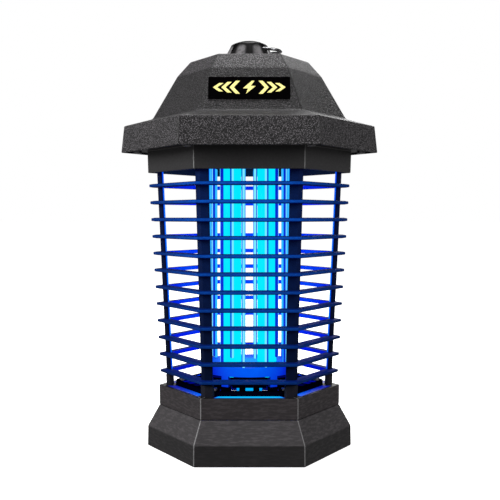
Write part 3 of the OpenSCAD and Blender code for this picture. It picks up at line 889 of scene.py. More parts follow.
@dataclass(frozen=True)
class LitPaint(Finish):
    """Coloured plastic or paint round the lamp, which shows the lamp's light where it faces it.

    The light runs through the colours deep, bright and white as it grows; gain scales it, and flat and through are
    as for lamp_light. The paint's colour also carries painted lamp light, growing over rise, a range of heights in
    millimetres, and towards the front and back, and painted shade on level faces.
    """

    tone: Colour = (0.004, 0.02, 0.12)
    fleck_and_glint: Colour = (0.008, 0.05, 0.25)
    deep: Colour = (0.0, 0.008, 0.75)
    bright: Colour = (0.0, 0.25, 1.0)
    white: Colour = (0.35, 0.85, 1.0)
    gain: float = 1.0
    rough: float = 0.35
    gloss: float = 0.4
    flat: float = 1.0
    through: float = 0.0
    # heights over which the painted lamp light in the paint's colour grows
    rise: Sequence[float] = (50.0, 190.0)

    def make(self, recipe: Recipe) -> bpy.types.Material:
        """Builds fine moulding marks on paint with painted lamp light that fades downwards and to the sides, and the
        lamp's light.

        Args:
            recipe: The material being made.

        Returns:
            The material.
        """
        cloud = recipe.noise(9.0, 3.0)
        marks = recipe.noise(0.9, 3.0, 0.6, recipe.stretched((0.5, 0.5, 1.6)))
        light = recipe.lamp_light(self.flat, self.through) * self.gain * (cloud * 0.3 + 0.85)
        # painted shade on level faces: a quarter of the tone
        level_shade = tuple(0.25 * value for value in self.tone)
        z = recipe.parts(recipe.place)[2]
        # painted lamp light in the paint's colour: lighter upwards over rise, and towards the front and back
        height = z.step(self.rise[0] * MM, self.rise[1] * MM) * 0.65 + 0.35
        share = height * (recipe.between_legs() * 0.6 + 0.4)
        tinted = recipe.mixed((marks * 0.6 + cloud * 0.4).step(0.35, 0.68), self.tone, self.fleck_and_glint)
        paint = recipe.scaled(tinted, share)
        stops = [(0.0, (0.0, 0.0, 0.0)), (0.22, self.deep), (0.55, self.bright), (1.0, self.white)]
        return recipe.finished(
            Base_Color=recipe.mixed(recipe.level(), paint, level_shade),
            Roughness=(cloud * 0.2 + marks * 0.1 + (self.rough - 0.12)).held(),
            Normal=recipe.bump(marks, 0.06, 0.6),
            Specular_IOR_Level=self.gloss,
            Emission_Color=recipe.ramp((light * 0.8).held(), stops),
            Emission_Strength=1.0,
        )


@dataclass(frozen=True)
class RodWire(Finish):
    """Bright drawn wire beside the lamp: a pale line of light along each rod, and blue on its sides."""

    core: Colour = (0.2, 0.82, 1.0)
    side: Colour = (0.0, 0.012, 0.5)
    lit: Colour = (0.0, 0.42, 1.0)
    rough: float = 0.3

    def make(self, recipe: Recipe) -> bpy.types.Material:
        """Builds the painted line of light from the rods' "wear" attribute, broken up by the wire's drawing marks.

        Args:
            recipe: The material being made.

        Returns:
            The material.
        """
        marks = recipe.noise(0.5, 3.0, 0.6, recipe.stretched((1.0, 1.0, 0.12)))
        cloud = recipe.noise(14.0, 2.0)
        line = recipe.attribute("painted_light") * (marks * 0.3 + cloud * 0.3 + 0.75)
        return recipe.finished(
            Base_Color=recipe.mixed(marks.step(0.35, 0.65), (0.004, 0.02, 0.16), (0.008, 0.04, 0.25)),
            Roughness=(marks * 0.15 + (self.rough - 0.08)).held(),
            Normal=recipe.bump(marks, 0.02, 0.4),
            Specular_IOR_Level=0.2,
            Emission_Color=recipe.ramp(line.held(), [(0.0, self.side), (0.45, self.lit), (0.9, self.core)]),
            Emission_Strength=1.0,
        )


@dataclass(frozen=True)
class LampGlass(Finish):
    """Coated lamp glass with the light behind it: brightest along the middle, and deeper in colour at its ends."""

    core: Colour = (0.0, 0.82, 1.0)
    rim: Colour = (0.0, 0.42, 1.0)
    strength: float = 1.0

    def make(self, recipe: Recipe) -> bpy.types.Material:
        """Builds the light from the height on the lamp and a faint unevenness of the coating.

        Args:
            recipe: The material being made.

        Returns:
            The material.
        """
        low, _ = extent("uv_lamp")
        _, _, z = recipe.parts(recipe.place)
        coating = recipe.noise(6.0, 3.0, 0.55, recipe.stretched((1.0, 1.0, 0.25)))
        lit = (z - low[2] * MM).step(0.0, 0.02) * 0.35 + (coating * 0.5 + 0.4)
        return recipe.finished(
            Base_Color=recipe.mixed(coating, (0.001, 0.03, 0.04), (0.002, 0.05, 0.06)),
            Roughness=(coating * 0.1 + 0.3).held(),
            Normal=recipe.bump(coating, 0.03, 0.3),
            Specular_IOR_Level=0.05,
            Emission_Color=recipe.mixed(lit.held(), self.rim, self.core),
            Emission_Strength=self.strength,
        )


@dataclass(frozen=True)
class Metal(Finish):
    """Drawn, rolled or plated metal with fine scratches and duller patches."""

    tone: Colour = (0.5, 0.5, 0.52)
    dull: Colour = (0.3, 0.3, 0.31)
    rough: float = 0.28
    scratch: Sequence[float] = (1.0, 1.0, 0.2)

    def make(self, recipe: Recipe) -> bpy.types.Material:
        """Builds the scratches and the patches.

        Args:
            recipe: The material being made.

        Returns:
            The material.
        """
        lines = recipe.noise(0.25, 3.0, 0.7, recipe.stretched(self.scratch))
        patch = recipe.noise(3.5, 3.0)
        return recipe.finished(
            Base_Color=recipe.mixed((patch * 0.7 + lines * 0.3).step(0.3, 0.7), self.tone, self.dull),
            Metallic=(patch * -0.08 + 1.0).held(),
            Roughness=(lines * 0.18 + patch * 0.16 + (self.rough - 0.14)).held(),
            Normal=recipe.bump(lines, 0.02, 0.5),
        )


@dataclass(frozen=True)
class InnerPart(Finish):
    """A part inside the head: its record colour, with a cast or printed surface."""

    size: float = 0.8
    rough: float = 0.5
    metal: float = 0.0
    clear: float = 0.0

    def make(self, recipe: Recipe) -> bpy.types.Material:
        """Builds speckle and relief on the record's colour.

        Args:
            recipe: The material being made.

        Returns:
            The material.
        """
        colours = {row["slot"]: tuple(row["base_color"][:3]) for row in frame["record"]["materials"]}
        tone = colours[self.slot]
        speckle = recipe.noise(self.size, 3.0, 0.6)
        cloud = recipe.noise(7.0, 2.0)
        darker = tuple(0.7 * value for value in tone)
        return recipe.finished(
            Base_Color=recipe.mixed((speckle * 0.6 + cloud * 0.4).step(0.35, 0.65), darker, tone),
            Roughness=(speckle * 0.2 + (self.rough - 0.1)).held(),
            Normal=recipe.bump(speckle, 0.05, 0.5),
            Metallic=self.metal,
            Transmission_Weight=self.clear,
        )


# the hood's light flecks are painted glints on the pebbles, and its dome gets painted shade from painted_shade_from
# to painted_shade_to
PEBBLED = Moulding(
    "hood_pebble", "pebbled_moulding",
    tone=(0.007, 0.0065, 0.007), fleck_and_glint=(0.15, 0.14, 0.15), highlight_tone=(0.008, 0.0075, 0.008),
    grain=Grain.PEBBLE, size=0.8, depth=0.35, rough=0.5, gloss=0.3, painted_shade_from=251.0, painted_shade_to=288.5, painted_shade_keep=0.45)
COLLAR = Moulding(
    "collar_satin", "smooth_black_moulding",
    tone=(0.018, 0.017, 0.018), fleck_and_glint=(0.032, 0.031, 0.032), highlight_tone=(0.2, 0.2, 0.2),
    size=1.6, depth=0.05, rough=0.42, lamp_share=0.08)
# level_painted_shade paints shade on the ring's level faces
BASE = Moulding(
    "base_grain", "charcoal_moulding",
    tone=(0.022, 0.0185, 0.020), fleck_and_glint=(0.042, 0.036, 0.039), highlight_tone=(0.2, 0.195, 0.2),
    grain=Grain.BRUSHED, size=1.3, depth=0.14, rough=0.48, gloss=0.3, lamp_share=4.4, lit_reach=58.6, level_painted_shade=0.8)
SOCKET = Moulding(
    "socket_satin", "charcoal_moulding",
    tone=(0.006, 0.006, 0.012), fleck_and_glint=(0.011, 0.012, 0.02), highlight_tone=(0.05, 0.05, 0.06),
    size=1.1, depth=0.06, rough=0.55, gloss=0.15, lamp_share=0.4)
# the foot band, from painted_shade_from to painted_shade_to, is darkened by painted shade
TRAY = Moulding(
    "tray_grain", "charcoal_moulding",
    tone=(0.034, 0.031, 0.033), fleck_and_glint=(0.062, 0.056, 0.06), highlight_tone=(0.2, 0.195, 0.2),
    grain=Grain.BRUSHED, size=1.3, depth=0.14, rough=0.46, gloss=0.34, lamp_share=5.0, lamp_flat=0.0,
    painted_shade_from=-5.0, painted_shade_to=15.9, painted_shade_keep=0.28)
# the cap's lighter colour is a painted highlight in its flutes
CAP = Moulding(
    "cap_satin", "cap_moulding",
    tone=(0.003, 0.0028, 0.003), fleck_and_glint=(0.006, 0.0055, 0.006), highlight_tone=(0.15, 0.145, 0.15),
    size=1.0, depth=0.05, rough=0.33, gloss=0.12)
RUBBER = Moulding(
    "rubber_matt", "rubber_pad",
    tone=(0.015, 0.015, 0.015), fleck_and_glint=(0.03, 0.03, 0.03), highlight_tone=(0.04, 0.04, 0.04),
    size=0.6, depth=0.08, rough=0.75, gloss=0.25)
GLAND = Moulding(
    "gland_satin", "smooth_black_moulding",
    tone=(0.015, 0.015, 0.016), fleck_and_glint=(0.03, 0.03, 0.031), highlight_tone=(0.08, 0.08, 0.08),
    size=0.8, depth=0.06, rough=0.45, gloss=0.4)
PLATE = Moulding(
    "plate_gloss", "plate_black",
    tone=(0.001, 0.0008, 0.001), fleck_and_glint=(0.002, 0.0018, 0.002), highlight_tone=(0.02, 0.02, 0.02),
    size=0.7, depth=0.03, rough=0.65, gloss=0.0)
MOTIF = Moulding(
    "motif_print", "motif_yellow",
    tone=(0.95, 0.86, 0.26), fleck_and_glint=(1.0, 0.93, 0.42), highlight_tone=(1.0, 0.95, 0.5),
    size=0.5, depth=0.05, rough=0.55, gloss=0.3)
SLAT = LitPaint(
    "slat_blue", "cage_blue",
    tone=(0.001, 0.05, 0.34), fleck_and_glint=(0.002, 0.09, 0.55), gain=0.65, rough=0.6, gloss=0.05, flat=0.12)
POST = LitPaint(
    "post_blue", "cage_blue",
    tone=(0.001, 0.009, 0.05), fleck_and_glint=(0.002, 0.015, 0.08), gain=1.5, rough=0.6, gloss=0.05, flat=0.3)
GRILLE = LitPaint(
    "grille_blue", "cage_blue",
    tone=(0.001, 0.002, 0.015), fleck_and_glint=(0.002, 0.004, 0.03), rough=0.9, gloss=0.0, flat=0.0)
CUP = LitPaint(
    "cup_blue", "blue_insulator",
    tone=(0.001, 0.02, 0.3), fleck_and_glint=(0.002, 0.04, 0.45), deep=(0.0, 0.02, 0.6),
    bright=(0.0, 0.14, 0.95), white=(0.0, 0.34, 1.0), gain=0.9, rough=0.6, gloss=0.05, through=1.1)
RODS = RodWire("rod_wire", "grid_wire")
LAMP = LampGlass("lamp_light", "lamp_glass")
SCREW = Metal("screw_zinc", "screw_steel", (0.45, 0.45, 0.47), (0.28, 0.28, 0.29), 0.32)
PLATED = Metal("bracket_zinc", "plated_steel", (0.55, 0.55, 0.57), (0.4, 0.4, 0.41), 0.3)
BRASS = Metal("bus_brass", "brass_conductor", (0.6, 0.46, 0.2), (0.42, 0.31, 0.14), 0.3)
BAIL = Metal("bail_wire_dark", "bail_wire", (0.4, 0.4, 0.41), (0.14, 0.14, 0.145), 0.22, (0.2, 1.0, 1.0))


def settle(piece: bpy.types.Object, finish: Finish, *nodes: str) -> bpy.types.Object:
    """Gives a piece its finish and puts it in the place of frame parts, on their body.

    Args:
        piece: The piece.
        finish: Its finish.
        nodes: The frame parts that it stands for.

    Returns:
        The same piece.
    """
    piece.data.materials.clear()
    piece.data.materials.append(finish.material())
    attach(piece, frame["nodes"][nodes[0]]["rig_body"])
    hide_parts(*nodes)
    log.info("%s: %d faces, %s", piece.name, len(piece.data.polygons), finish.name)
    return piece


def dress(finish: Finish, *nodes: str) -> None:
    """Gives frame parts that are shown as they are their finish.

    Args:
        finish: The finish.
        nodes: Names of the frame parts.
    """
    for node in nodes:
        part = frame["nodes"][node]
        if not part.material_slots:
            part.data.materials.append(None)
        for place in part.material_slots:
            place.material = finish.material()
        log.info("%s: kept, %s", node, finish.name)


# ---------- sub-assemblies ----------


def levels(rows: Sequence[Sequence[float]], corner: float, edge: float) -> Array:
    """Rounds a closed profile of (apothem, height) rows for a hexagonal shell.

    Args:
        rows: Apothem and height of each profile corner.
        corner: Radius of the shell's upright corners, at most the apothem.
        edge: Radius of the profile's own corners.

    Returns:
        Rows of apothem, height and corner radius, for hexagon.
    """
    profile = np.asarray(rows, float)
    return rounded(np.column_stack([profile, np.minimum(corner, profile[:, 0])]), edge)


@dataclass
class Tray:
    """The flared tray that holds the catch: a hexagonal shell, two spring tongues and six rubber pads."""

    wall: float = 2.2
    foot_height: float = 16.1
    foot_taper: float = 0.2
    waist: float = 70.7
    top: float = 32.7
    floor: float = 7.0
    floor_thickness: float = 2.0
    corner: float = 1.3
    edge: float = 0.7
    tongue_width: float = 22.0
    tongue_thickness: float = 1.6
    tongue_low: float = 24.0
    pad_radius: float = 5.0
    pad_height: float = 3.0
    pad_inset: float = 12.0
    seat_wall: float = 1.5
    seat_low: float = 1.2
    tongue_gap: float = 0.35

    def build(self) -> None:
        """Builds the shell with its tongues, then the pads."""
        _, high = extent("collection_tray")
        foot = high[0]
        self._shell(foot, high[2])
        self._pads(foot)

    def _shell(self, foot: float, tongue_top: float) -> None:
        """Carries the wall's profile round the hexagon, and adds the floor, the tongues and the pads' seats.

        Args:
            foot: Radius to the corners at the foot.
            tongue_top: Height of the tongues' tips.
        """
        low, _ = extent("collection_tray")
        outer = np.array([foot, foot - self.foot_taper, self.waist]) * COS30
        profile = [
            (outer[0], low[2]), (outer[1], self.foot_height), (outer[2], self.top), (outer[2] - self.wall, self.top),
            (outer[1] - self.wall, self.foot_height - 0.6), (outer[0] - self.wall, self.floor),
            (0.0, self.floor), (0.0, self.floor - self.floor_thickness),
            (outer[0] - self.wall, self.floor - self.floor_thickness), (outer[0] - self.wall, low[2]),
        ]
        radii = [self.edge, self.edge, 0.4, 0.4, 1.0, 1.0, 0.0, 0.0, 0.5, 0.4]
        shape = np.asarray(profile)
        corner = np.minimum([self.corner] * 3 + [0.8] * 3 + [0.0] * 2 + [0.8] * 2, shape[:, 0])
        skin = Skin().add(*hexagon(rounded(np.column_stack([shape, corner]), radii)), ring=True)
        reach = extent("foot_pads")[1][0] - self.pad_radius
        inside, outside, top = self.pad_radius, self.pad_radius + self.seat_wall, self.floor - 1.5
        seat = rounded([(inside, self.seat_low), (outside, self.seat_low), (outside, top), (inside, top)], 0.3)
        skin.add(copies(lathe(seat, 32), CORNERS, reach), ring=True)
        rear = outer[2] - self.wall - self.tongue_gap
        half = self.tongue_width / 2
        tongue = slab((rear - self.tongue_thickness, -half, self.tongue_low), (rear, half, tongue_top), 0.6)
        skin.add(copies(tongue, (90.0, 270.0)))
        settle(smoothed(skin.build("tray_shell")), TRAY, "collection_tray")

    def _pads(self, foot: float) -> None:
        """Turns one pad with two grip grooves in its sole and repeats it under each corner.

        Args:
            foot: Radius to the corners at the foot.
        """
        r, h = self.pad_radius - 0.02, self.pad_height
        groove = np.array([(0.0, 0.0), (0.2, 0.25), (0.5, 0.25), (0.7, 0.0)])
        side = [(r - 0.4, 0.0), (r, 0.4), (r, h), (0.0, h)]
        sole = np.concatenate([[(0.0, 0.0)], groove + (1.5, 0.0), groove + (3.2, 0.0), side])
        pads = Skin().add(copies(lathe(sole, 32), CORNERS, foot - self.pad_inset))
        settle(smoothed(pads.build("rubber_pads")), RUBBER, "foot_pads")


@dataclass
class Posts:
    """Six leaning posts that narrow to the foot. Their section is the corner of a hexagon with its two faces."""

    face: float = 6.5
    foot_face: float = 5.3
    depth: float = 4.8
    foot_reach: float = 64.7
    head_reach: float = 72.5

    def section(self, grow: float) -> Array:
        """The section with its outer corner at the origin, pointing to +X.

        Args:
            grow: How far every side is moved out.

        Returns:
            Outline points (x, y).
        """
        half = self.face * COS30 + grow
        tip, back = grow / COS30, -self.depth - grow
        side = tip - half * TAN30
        corners = [(tip, 0.0), (side, half), (back, half), (back, -half), (side, -half)]
        return rounded(corners, [0.9, 0.7, 0.6, 0.6, 0.7])

    def leaning(self, grow: float, low: float, high: float, edge: float) -> Array:
        """Raises the section and leans it outwards, then repeats it at each corner.

        At height z the widths are scaled from the foot's face to the head's. A point keeps its share of the way from
        the front of the section, tip - |y| tan 30, to its back. Then x is divided by the cosine of the lean and moved
        out by the foot's reach plus the height above the foot times the lean's tangent.

        Args:
            grow: How far the section's sides are moved out.
            low: Height of the lower end.
            high: Height of the upper end.
            edge: Radius of the rounding at the ends.

        Returns:
            A stack of grids.
        """
        foot, head = extent("guard_posts")
        tangent = (self.head_reach - self.foot_reach) / (head[2] - foot[2])
        grid = prism(self.section(grow), low, high, edge)
        x, y, z = np.moveaxis(grid, -1, 0)
        share = (z - foot[2]) / (head[2] - foot[2])
        narrow = (self.foot_face + (self.face - self.foot_face) * share) * COS30 + grow
        narrowed = y * narrow / (self.face * COS30 + grow)
        tip, back = grow / COS30, -self.depth - grow
        front, front_then = tip - np.abs(y) * TAN30, tip - np.abs(narrowed) * TAN30
        deep = (x - front) / (back - front)
        moved = front_then + deep * (back - front_then)
        leant = moved * math.hypot(1.0, tangent) + self.foot_reach + (z - foot[2]) * tangent
        return copies(np.stack([leant, narrowed, z], axis=-1), CORNERS)


@dataclass
class BaseRing:
    """The ring that carries the guard: a wall, a ledge, a socket round each post's foot and tabs under the floor."""

    wall: float = 2.4
    ledge: float = 2.4
    ledge_inside: float = 49.5
    corner: float = 1.3
    edge: float = 0.6
    tab: Sequence[float] = (49.0, 58.8, 3.5, 6.0)
    socket_grow: float = 0.5
    socket_height: float = 8.4

    def build(self, posts: Posts) -> None:
        """Carries the wall and ledge round the hexagon, and adds the sockets and tabs.

        Args:
            posts: The posts that stand in the sockets.
        """
        low, high = extent("base_ring")
        outside = high[0] * COS30
        top = extent("guard_posts")[0][2]
        profile = levels([
            (outside - 0.09, low[2]), (outside, top), (self.ledge_inside, top), (self.ledge_inside, top - self.ledge),
            (outside - self.wall, top - self.ledge), (outside - self.wall, low[2])], self.corner, self.edge)
        skin = Skin().add(*hexagon(profile), ring=True)
        sockets = Skin().add(posts.leaning(self.socket_grow, top - 0.5, top + self.socket_height, 0.5))
        settle(smoothed(sockets.build("post_sockets")), SOCKET, "base_ring")
        start, end, half, drop = self.tab
        skin.add(copies(slab((start, -half, top - drop), (end, half, top - 0.3), 0.5), CORNERS))
        settle(smoothed(skin.build("base_ring_shell")), BASE, "base_ring")
        settle(softened("floor_grille", 0.3), GRILLE, "floor_grille")
        dress(SCREW, "floor_screws", "post_foot_screws", "post_head_screws")


@dataclass
class GuardCage:
    """Twelve hexagonal slats threaded on six leaning posts."""

    width: float = 8.0
    edge: float = 2.0
    bevel: float = 3.0
    corner: float = 1.2

    def build(self, posts: Posts) -> None:
        """Builds the posts, then each slat where its frame part is.

        Args:
            posts: The posts.
        """
        foot, head = extent("guard_posts")
        skin = Skin().add(posts.leaning(0.0, foot[2], head[2], 0.4))
        settle(smoothed(skin.build("guard_post_set")), POST, "guard_posts")
        for node in sorted(name for name in frame["nodes"] if name.startswith("guard_ring_")):
            self._slat(node)

    def _slat(self, node: str) -> None:
        """Carries a slat's section round the hexagon: a root of full thickness that thins over the bevel to its edge.

        Args:
            node: The slat's frame part.
        """
        low, high = extent(node)
        outside, middle = high[0] * COS30, (low[2] + high[2]) / 2
        root, tip = (high[2] - low[2]) / 2, self.edge / 2
        inside, shoulder = outside - self.width, outside - self.bevel * COS30
        rows = [(inside, middle - root), (shoulder, middle - root), (outside, middle - tip),
                (outside, middle + tip), (shoulder, middle + root), (inside, middle + root)]
        grid, painted_light = hexagon(levels(rows, self.corner, 0.45))
        settle(smoothed(Skin().add(grid, painted_light, ring=True).build(f"{node}_slat")), SLAT, node)


@dataclass
class ZapGrid:
    """The live and earthed rods, their insulators and the rings and strap that join them.

    tail is the radius of a rod's thin end. The line of light on a rod turns mirror times as far as the rod's place
    on its face, and it covers the side within line_edge, a cosine, softened over line_fade.
    """

    count: int = 24
    reach: float = ROD_REACH
    radius: float = 1.4
    tail: float = 0.8
    around: int = 24
    mirror: float = 2.4
    line_edge: float = 0.68
    line_fade: float = 0.2
    facing_light: float = 0.5

    def build(self) -> None:
        """Builds both sets of rods and dresses what holds them."""
        step = 360.0 / self.count
        bearings = step / 2 + step * np.arange(self.count)
        self._rods("live_rods", bearings[0::2], extent("upper_insulator")[1][2] - 2.0, True)
        self._rods("earth_rods", bearings[1::2], extent("lower_insulator_front")[1][2] - 2.6, False)
        for half in ("lower_insulator_front", "lower_insulator_rear"):
            settle(softened(half, 0.3), CUP, half)
        porcelain = InnerPart("porcelain", "white_insulator", 1.0, 0.3)
        dress(porcelain, "upper_insulator", "lamp_base", "lamp_holder", "board_pillars")
        dress(BRASS, "live_bus_ring", "earth_bus_ring", "earth_strap")

    def _rods(self, node: str, bearings: Array, shoulder: float, hung: bool) -> None:
        """Turns one rod with a rounded free end and a thin tail at its held end, and repeats it round the circle.

        A line of light runs along the side of the rod that mirrors its place about the middle of its face, and the
        half that faces the lamp is lit.

        Args:
            node: The rods' frame part.
            bearings: Bearing of each rod.
            shoulder: Height at which the rod thins to its tail.
            hung: True where the tail is at the top.
        """
        low, high = extent(node)
        r, t = self.radius, np.linspace(0.0, math.pi / 2, 5)
        free, tail = (low[2], high[2]) if hung else (high[2], low[2])
        up = 1.0 if hung else -1.0
        cap = np.column_stack([r * np.sin(t), free + up * 0.8 * (1 - np.cos(t))])
        thin = self.tail
        rest = np.array([(r, shoulder), (thin, shoulder), (thin, tail - up * 0.2), (thin - 0.2, tail), (0.0, tail)])
        grid = lathe(np.concatenate([cap, rest]), self.around)
        turn = np.linspace(0.0, 360.0, self.around, endpoint=False)
        from_face = bearings % 60.0 - 30.0
        off = np.radians(turn[None, None, :] + self.mirror * from_face[:, None, None])
        line = np.clip((np.cos(off) - self.line_edge) / self.line_fade, 0.0, 1.0)
        facing = np.clip((-np.cos(np.radians(turn)) - 0.05) / 0.3, 0.0, 1.0) * self.facing_light
        line = np.maximum(line, facing[None, None, :])
        stack = copies(grid, bearings, self.reach)
        # the painted line of light and lit side go onto each rod's points
        rods = Skin().add(stack, np.broadcast_to(line, stack.shape[:3]))
        settle(smoothed(rods.build(f"{node}_set")), RODS, node)


@dataclass
class UvLamp:
    """The twin-leg lamp: two capped tubes and the short bridge between them."""

    bridge_radius: float = 4.7
    bridge_height: float = 58.9

    def build(self) -> None:
        """Turns one leg with a rounded end, sets it to both sides, and joins them with the bridge."""
        low, high = extent("uv_lamp")
        radius = high[1]
        reach = high[0] - radius
        t = np.linspace(0.0, math.pi / 2, 9)
        end = np.column_stack([radius * np.sin(t), low[2] + radius * (1 - np.cos(t))])
        leg = np.concatenate([end, [(radius, high[2] - 0.3), (radius - 0.3, high[2]), (0.0, high[2])]])
        skin = Skin().add(copies(lathe(leg, 40), (0.0, 180.0), reach))
        path = np.column_stack([np.linspace(-reach, reach, 9), np.zeros(9), np.full(9, self.bridge_height)])
        skin.add(tube(path, self.bridge_radius, (0.0, 0.0, 1.0), 24))
        settle(smoothed(skin.build("uv_lamp_glass")), LAMP, "uv_lamp")


@dataclass
class HeadFrame:
    """The collar under the hood, the ceiling that the lamp and grid hang from, and the flange under the hood."""

    collar: float = 79.1
    spread: float = 0.5
    wall: float = 2.4
    ceiling: float = 2.2
    flange: float = 2.2
    corner: float = 1.2
    edge: float = 0.7

    def build(self) -> None:
        """Carries the collar, ceiling and flange round the hexagon as one shell."""
        low, high = extent("head_frame")
        foot, brow = self.collar * COS30, (self.collar + self.spread) * COS30
        inside, skirt = brow - self.wall, foot - self.wall
        under = extent("guard_posts")[1][2]
        rows = [(0.0, under), (skirt, under), (skirt, low[2]), (foot, low[2]), (brow, high[2] - self.flange),
                (high[0] * COS30, high[2] - self.flange), (high[0] * COS30, high[2]), (inside, high[2]),
                (inside, under + self.ceiling), (0.0, under + self.ceiling)]
        shape = np.asarray(rows)
        corner = np.minimum([0.0] + [self.corner] * 8 + [0.0], shape[:, 0])
        profile = rounded(np.column_stack([shape, corner]), [0.0] + [self.edge] * 8 + [0.0])
        settle(smoothed(Skin().add(*hexagon(profile), ring=True).build("head_shell")), COLLAR, "head_frame")
        dress(PLATED, "holder_bracket")


@dataclass
class Hood:
    """The faceted hood: one shell with a brim, a ledge, a steep dome, a bevel and a flat top, and screw bosses."""

    brow: Sequence[float] = (97.7, 250.5)
    ledge: Sequence[float] = (75.5, 256.0)
    shoulder: Sequence[float] = (56.2, 288.8)
    crown: float = 45.7
    wall: float = 2.0
    corner: float = 1.5
    edge: float = 0.8
    bolt_hole: float = 3.3
    dome_wall: float = 1.6
    gland_height: float = 267.0
    gland_bore: float = 3.2
    gland_shank: float = 5.0
    gland_flange: float = 8.0
    gland_ribs: int = 3
    boss_radius: float = 4.0
    boss_hole: float = 1.6
    boss_tall: float = 17.8
    plate_height: float = 272.6
    plate_width: float = 59.0
    plate_tall: float = 18.9

    def face_apothem(self, height: float) -> float:
        """Distance of the dome's face from the axis at a height."""
        share = (height - self.ledge[1]) / (self.shoulder[1] - self.ledge[1])
        return COS30 * (self.ledge[0] + (self.shoulder[0] - self.ledge[0]) * share)

    def tilt(self) -> float:
        """Angle of the dome's faces from upright, in radians."""
        return math.atan2(COS30 * (self.ledge[0] - self.shoulder[0]), self.shoulder[1] - self.ledge[1])

    def on_dome(self, grid: Array, height: float, bearing: float) -> Array:
        """Lays a grid that stands on the XY plane on a face of the dome, its +Z pointing out of the face.

        Args:
            grid: The grid.
            height: Height of the grid's origin on the face.
            bearing: Turn about the axis, in degrees, from the front face.

        Returns:
            The placed grid.
        """
        lean = math.radians(90) - self.tilt()
        x, y, z = np.moveaxis(grid, -1, 0)
        outward = y * math.cos(lean) - z * math.sin(lean) - self.face_apothem(height)
        upward = y * math.sin(lean) + z * math.cos(lean) + height
        cos, sin = math.cos(math.radians(bearing)), math.sin(math.radians(bearing))
        return np.stack([x * cos - outward * sin, x * sin + outward * cos, upward], axis=-1)

    def build(self) -> None:
        """Builds the shell, cuts the gland's hole, and adds the bosses, plate, mark and gland."""
        low, high = extent("hood")
        outer = [(high[0], low[2]), self.brow, self.ledge, self.shoulder, (self.crown, high[2])]
        wall, hole = self.wall / COS30, self.bolt_hole / COS30
        inner = [(high[0] - wall, low[2]), (self.brow[0] - wall, self.brow[1] - self.wall)]
        inner += [(radius - self.dome_wall, height - self.wall) for radius, height in outer[2:]]
        rows = [(hole, high[2]), *outer[::-1], *inner, (hole, high[2] - self.wall)]
        shape = np.asarray(rows) * (COS30, 1.0)
        corner = [self.bolt_hole, *[self.corner] * 5, *[0.8] * 5, self.bolt_hole]
        edges = [0.0, 1.0, 1.0, 1.4, self.edge, self.edge, 0.5, 1.0, 1.0, 1.0, 1.0, 0.0]
        skin = Skin().add(*hexagon(rounded(np.column_stack([shape, corner]), edges)), ring=True)
        shell = skin.build("hood_shell")
        circle = lathe([(self.gland_shank, 0.0)], 40)[0, :, :2]
        pierced(shell, Skin().add(self.on_dome(prism(circle, -8.0, 8.0, 0.1), self.gland_height, 180.0)))
        settle(smoothed(shell), PEBBLED, "hood")
        self._bosses()
        self._plate()
        self._gland()
        dress(SCREW, "hood_screws")

    def _bosses(self) -> None:
        """Turns one screw boss, with the hole for its screw, and repeats it inside each corner."""
        _, high = extent("hood_screws")
        flange = extent("head_frame")[1][2]
        reach, top = high[0] - 3.2, flange + self.boss_tall
        sides = [(self.boss_radius, flange), (self.boss_radius, top), (self.boss_hole, top), (self.boss_hole, flange)]
        rows = rounded(sides, 0.3)
        bosses = Skin().add(copies(lathe(rows, 24), CORNERS, reach), ring=True).build("hood_bosses")
        settle(smoothed(bosses), PEBBLED, "hood")

    def _plate(self) -> None:
        """Lays the plate on the front face, and rounds the mark's edges."""
        half, tall, thick = self.plate_width / 2, self.plate_tall / 2, extent_on_face("name_plate", self)
        plate = self.on_dome(slab((-half, -tall, 0.0), (half, tall, thick), 0.35), self.plate_height, 0.0)
        settle(smoothed(Skin().add(plate).build("name_plate_blank")), PLATE, "name_plate")
        settle(softened("plate_motif", 0.12), MOTIF, "plate_motif")

    def _gland(self) -> None:
        """Turns the gland: a flange on the face, a ribbed barrel outside, a shank inside, and a clear bore."""
        bore, shank, flange, ribs = self.gland_bore, self.gland_shank, self.gland_flange, self.gland_ribs
        barrel = shank + 0.6
        rib = np.linspace(2.0, 6.2, 4 * ribs + 1)
        ribbed = np.column_stack([barrel - 0.25 + 0.25 * np.cos((rib - 2.0) / 4.2 * ribs * 2 * math.pi), rib])
        inner = [(bore + 0.2, -4.0), (shank - 0.2, -4.0), (shank, -3.8), (shank, 0.0), (flange - 0.1, 0.0)]
        collar = [(flange, 0.3), (flange, 1.3), (flange - 0.5, 1.8), (barrel + 0.1, 1.8)]
        mouth = [(barrel, 6.6), (barrel - 0.4, 7.0), (bore + 0.5, 7.0), (bore, 6.5), (bore, -3.8)]
        outline = np.concatenate([inner, collar, ribbed, mouth])
        grid = self.on_dome(lathe(outline, 40), self.gland_height, 180.0)
        settle(smoothed(Skin().add(grid, ring=True).build("cord_gland_turned")), GLAND, "cord_gland")


def extent_on_face(node: str, hood: Hood) -> float:
    """Thickness of a flat frame part that lies on the dome's front face.

    Args:
        node: The frame part.
        hood: The hood.

    Returns:
        How far the part stands off the face, in millimetres.
    """
    points = np.array([vertex.co for vertex in frame["nodes"][node].data.vertices]) / MM
    normal = np.array([-math.cos(hood.tilt()), math.sin(hood.tilt())])
    off = points[:, 1:] @ normal
    return float(off.max() - off.min())


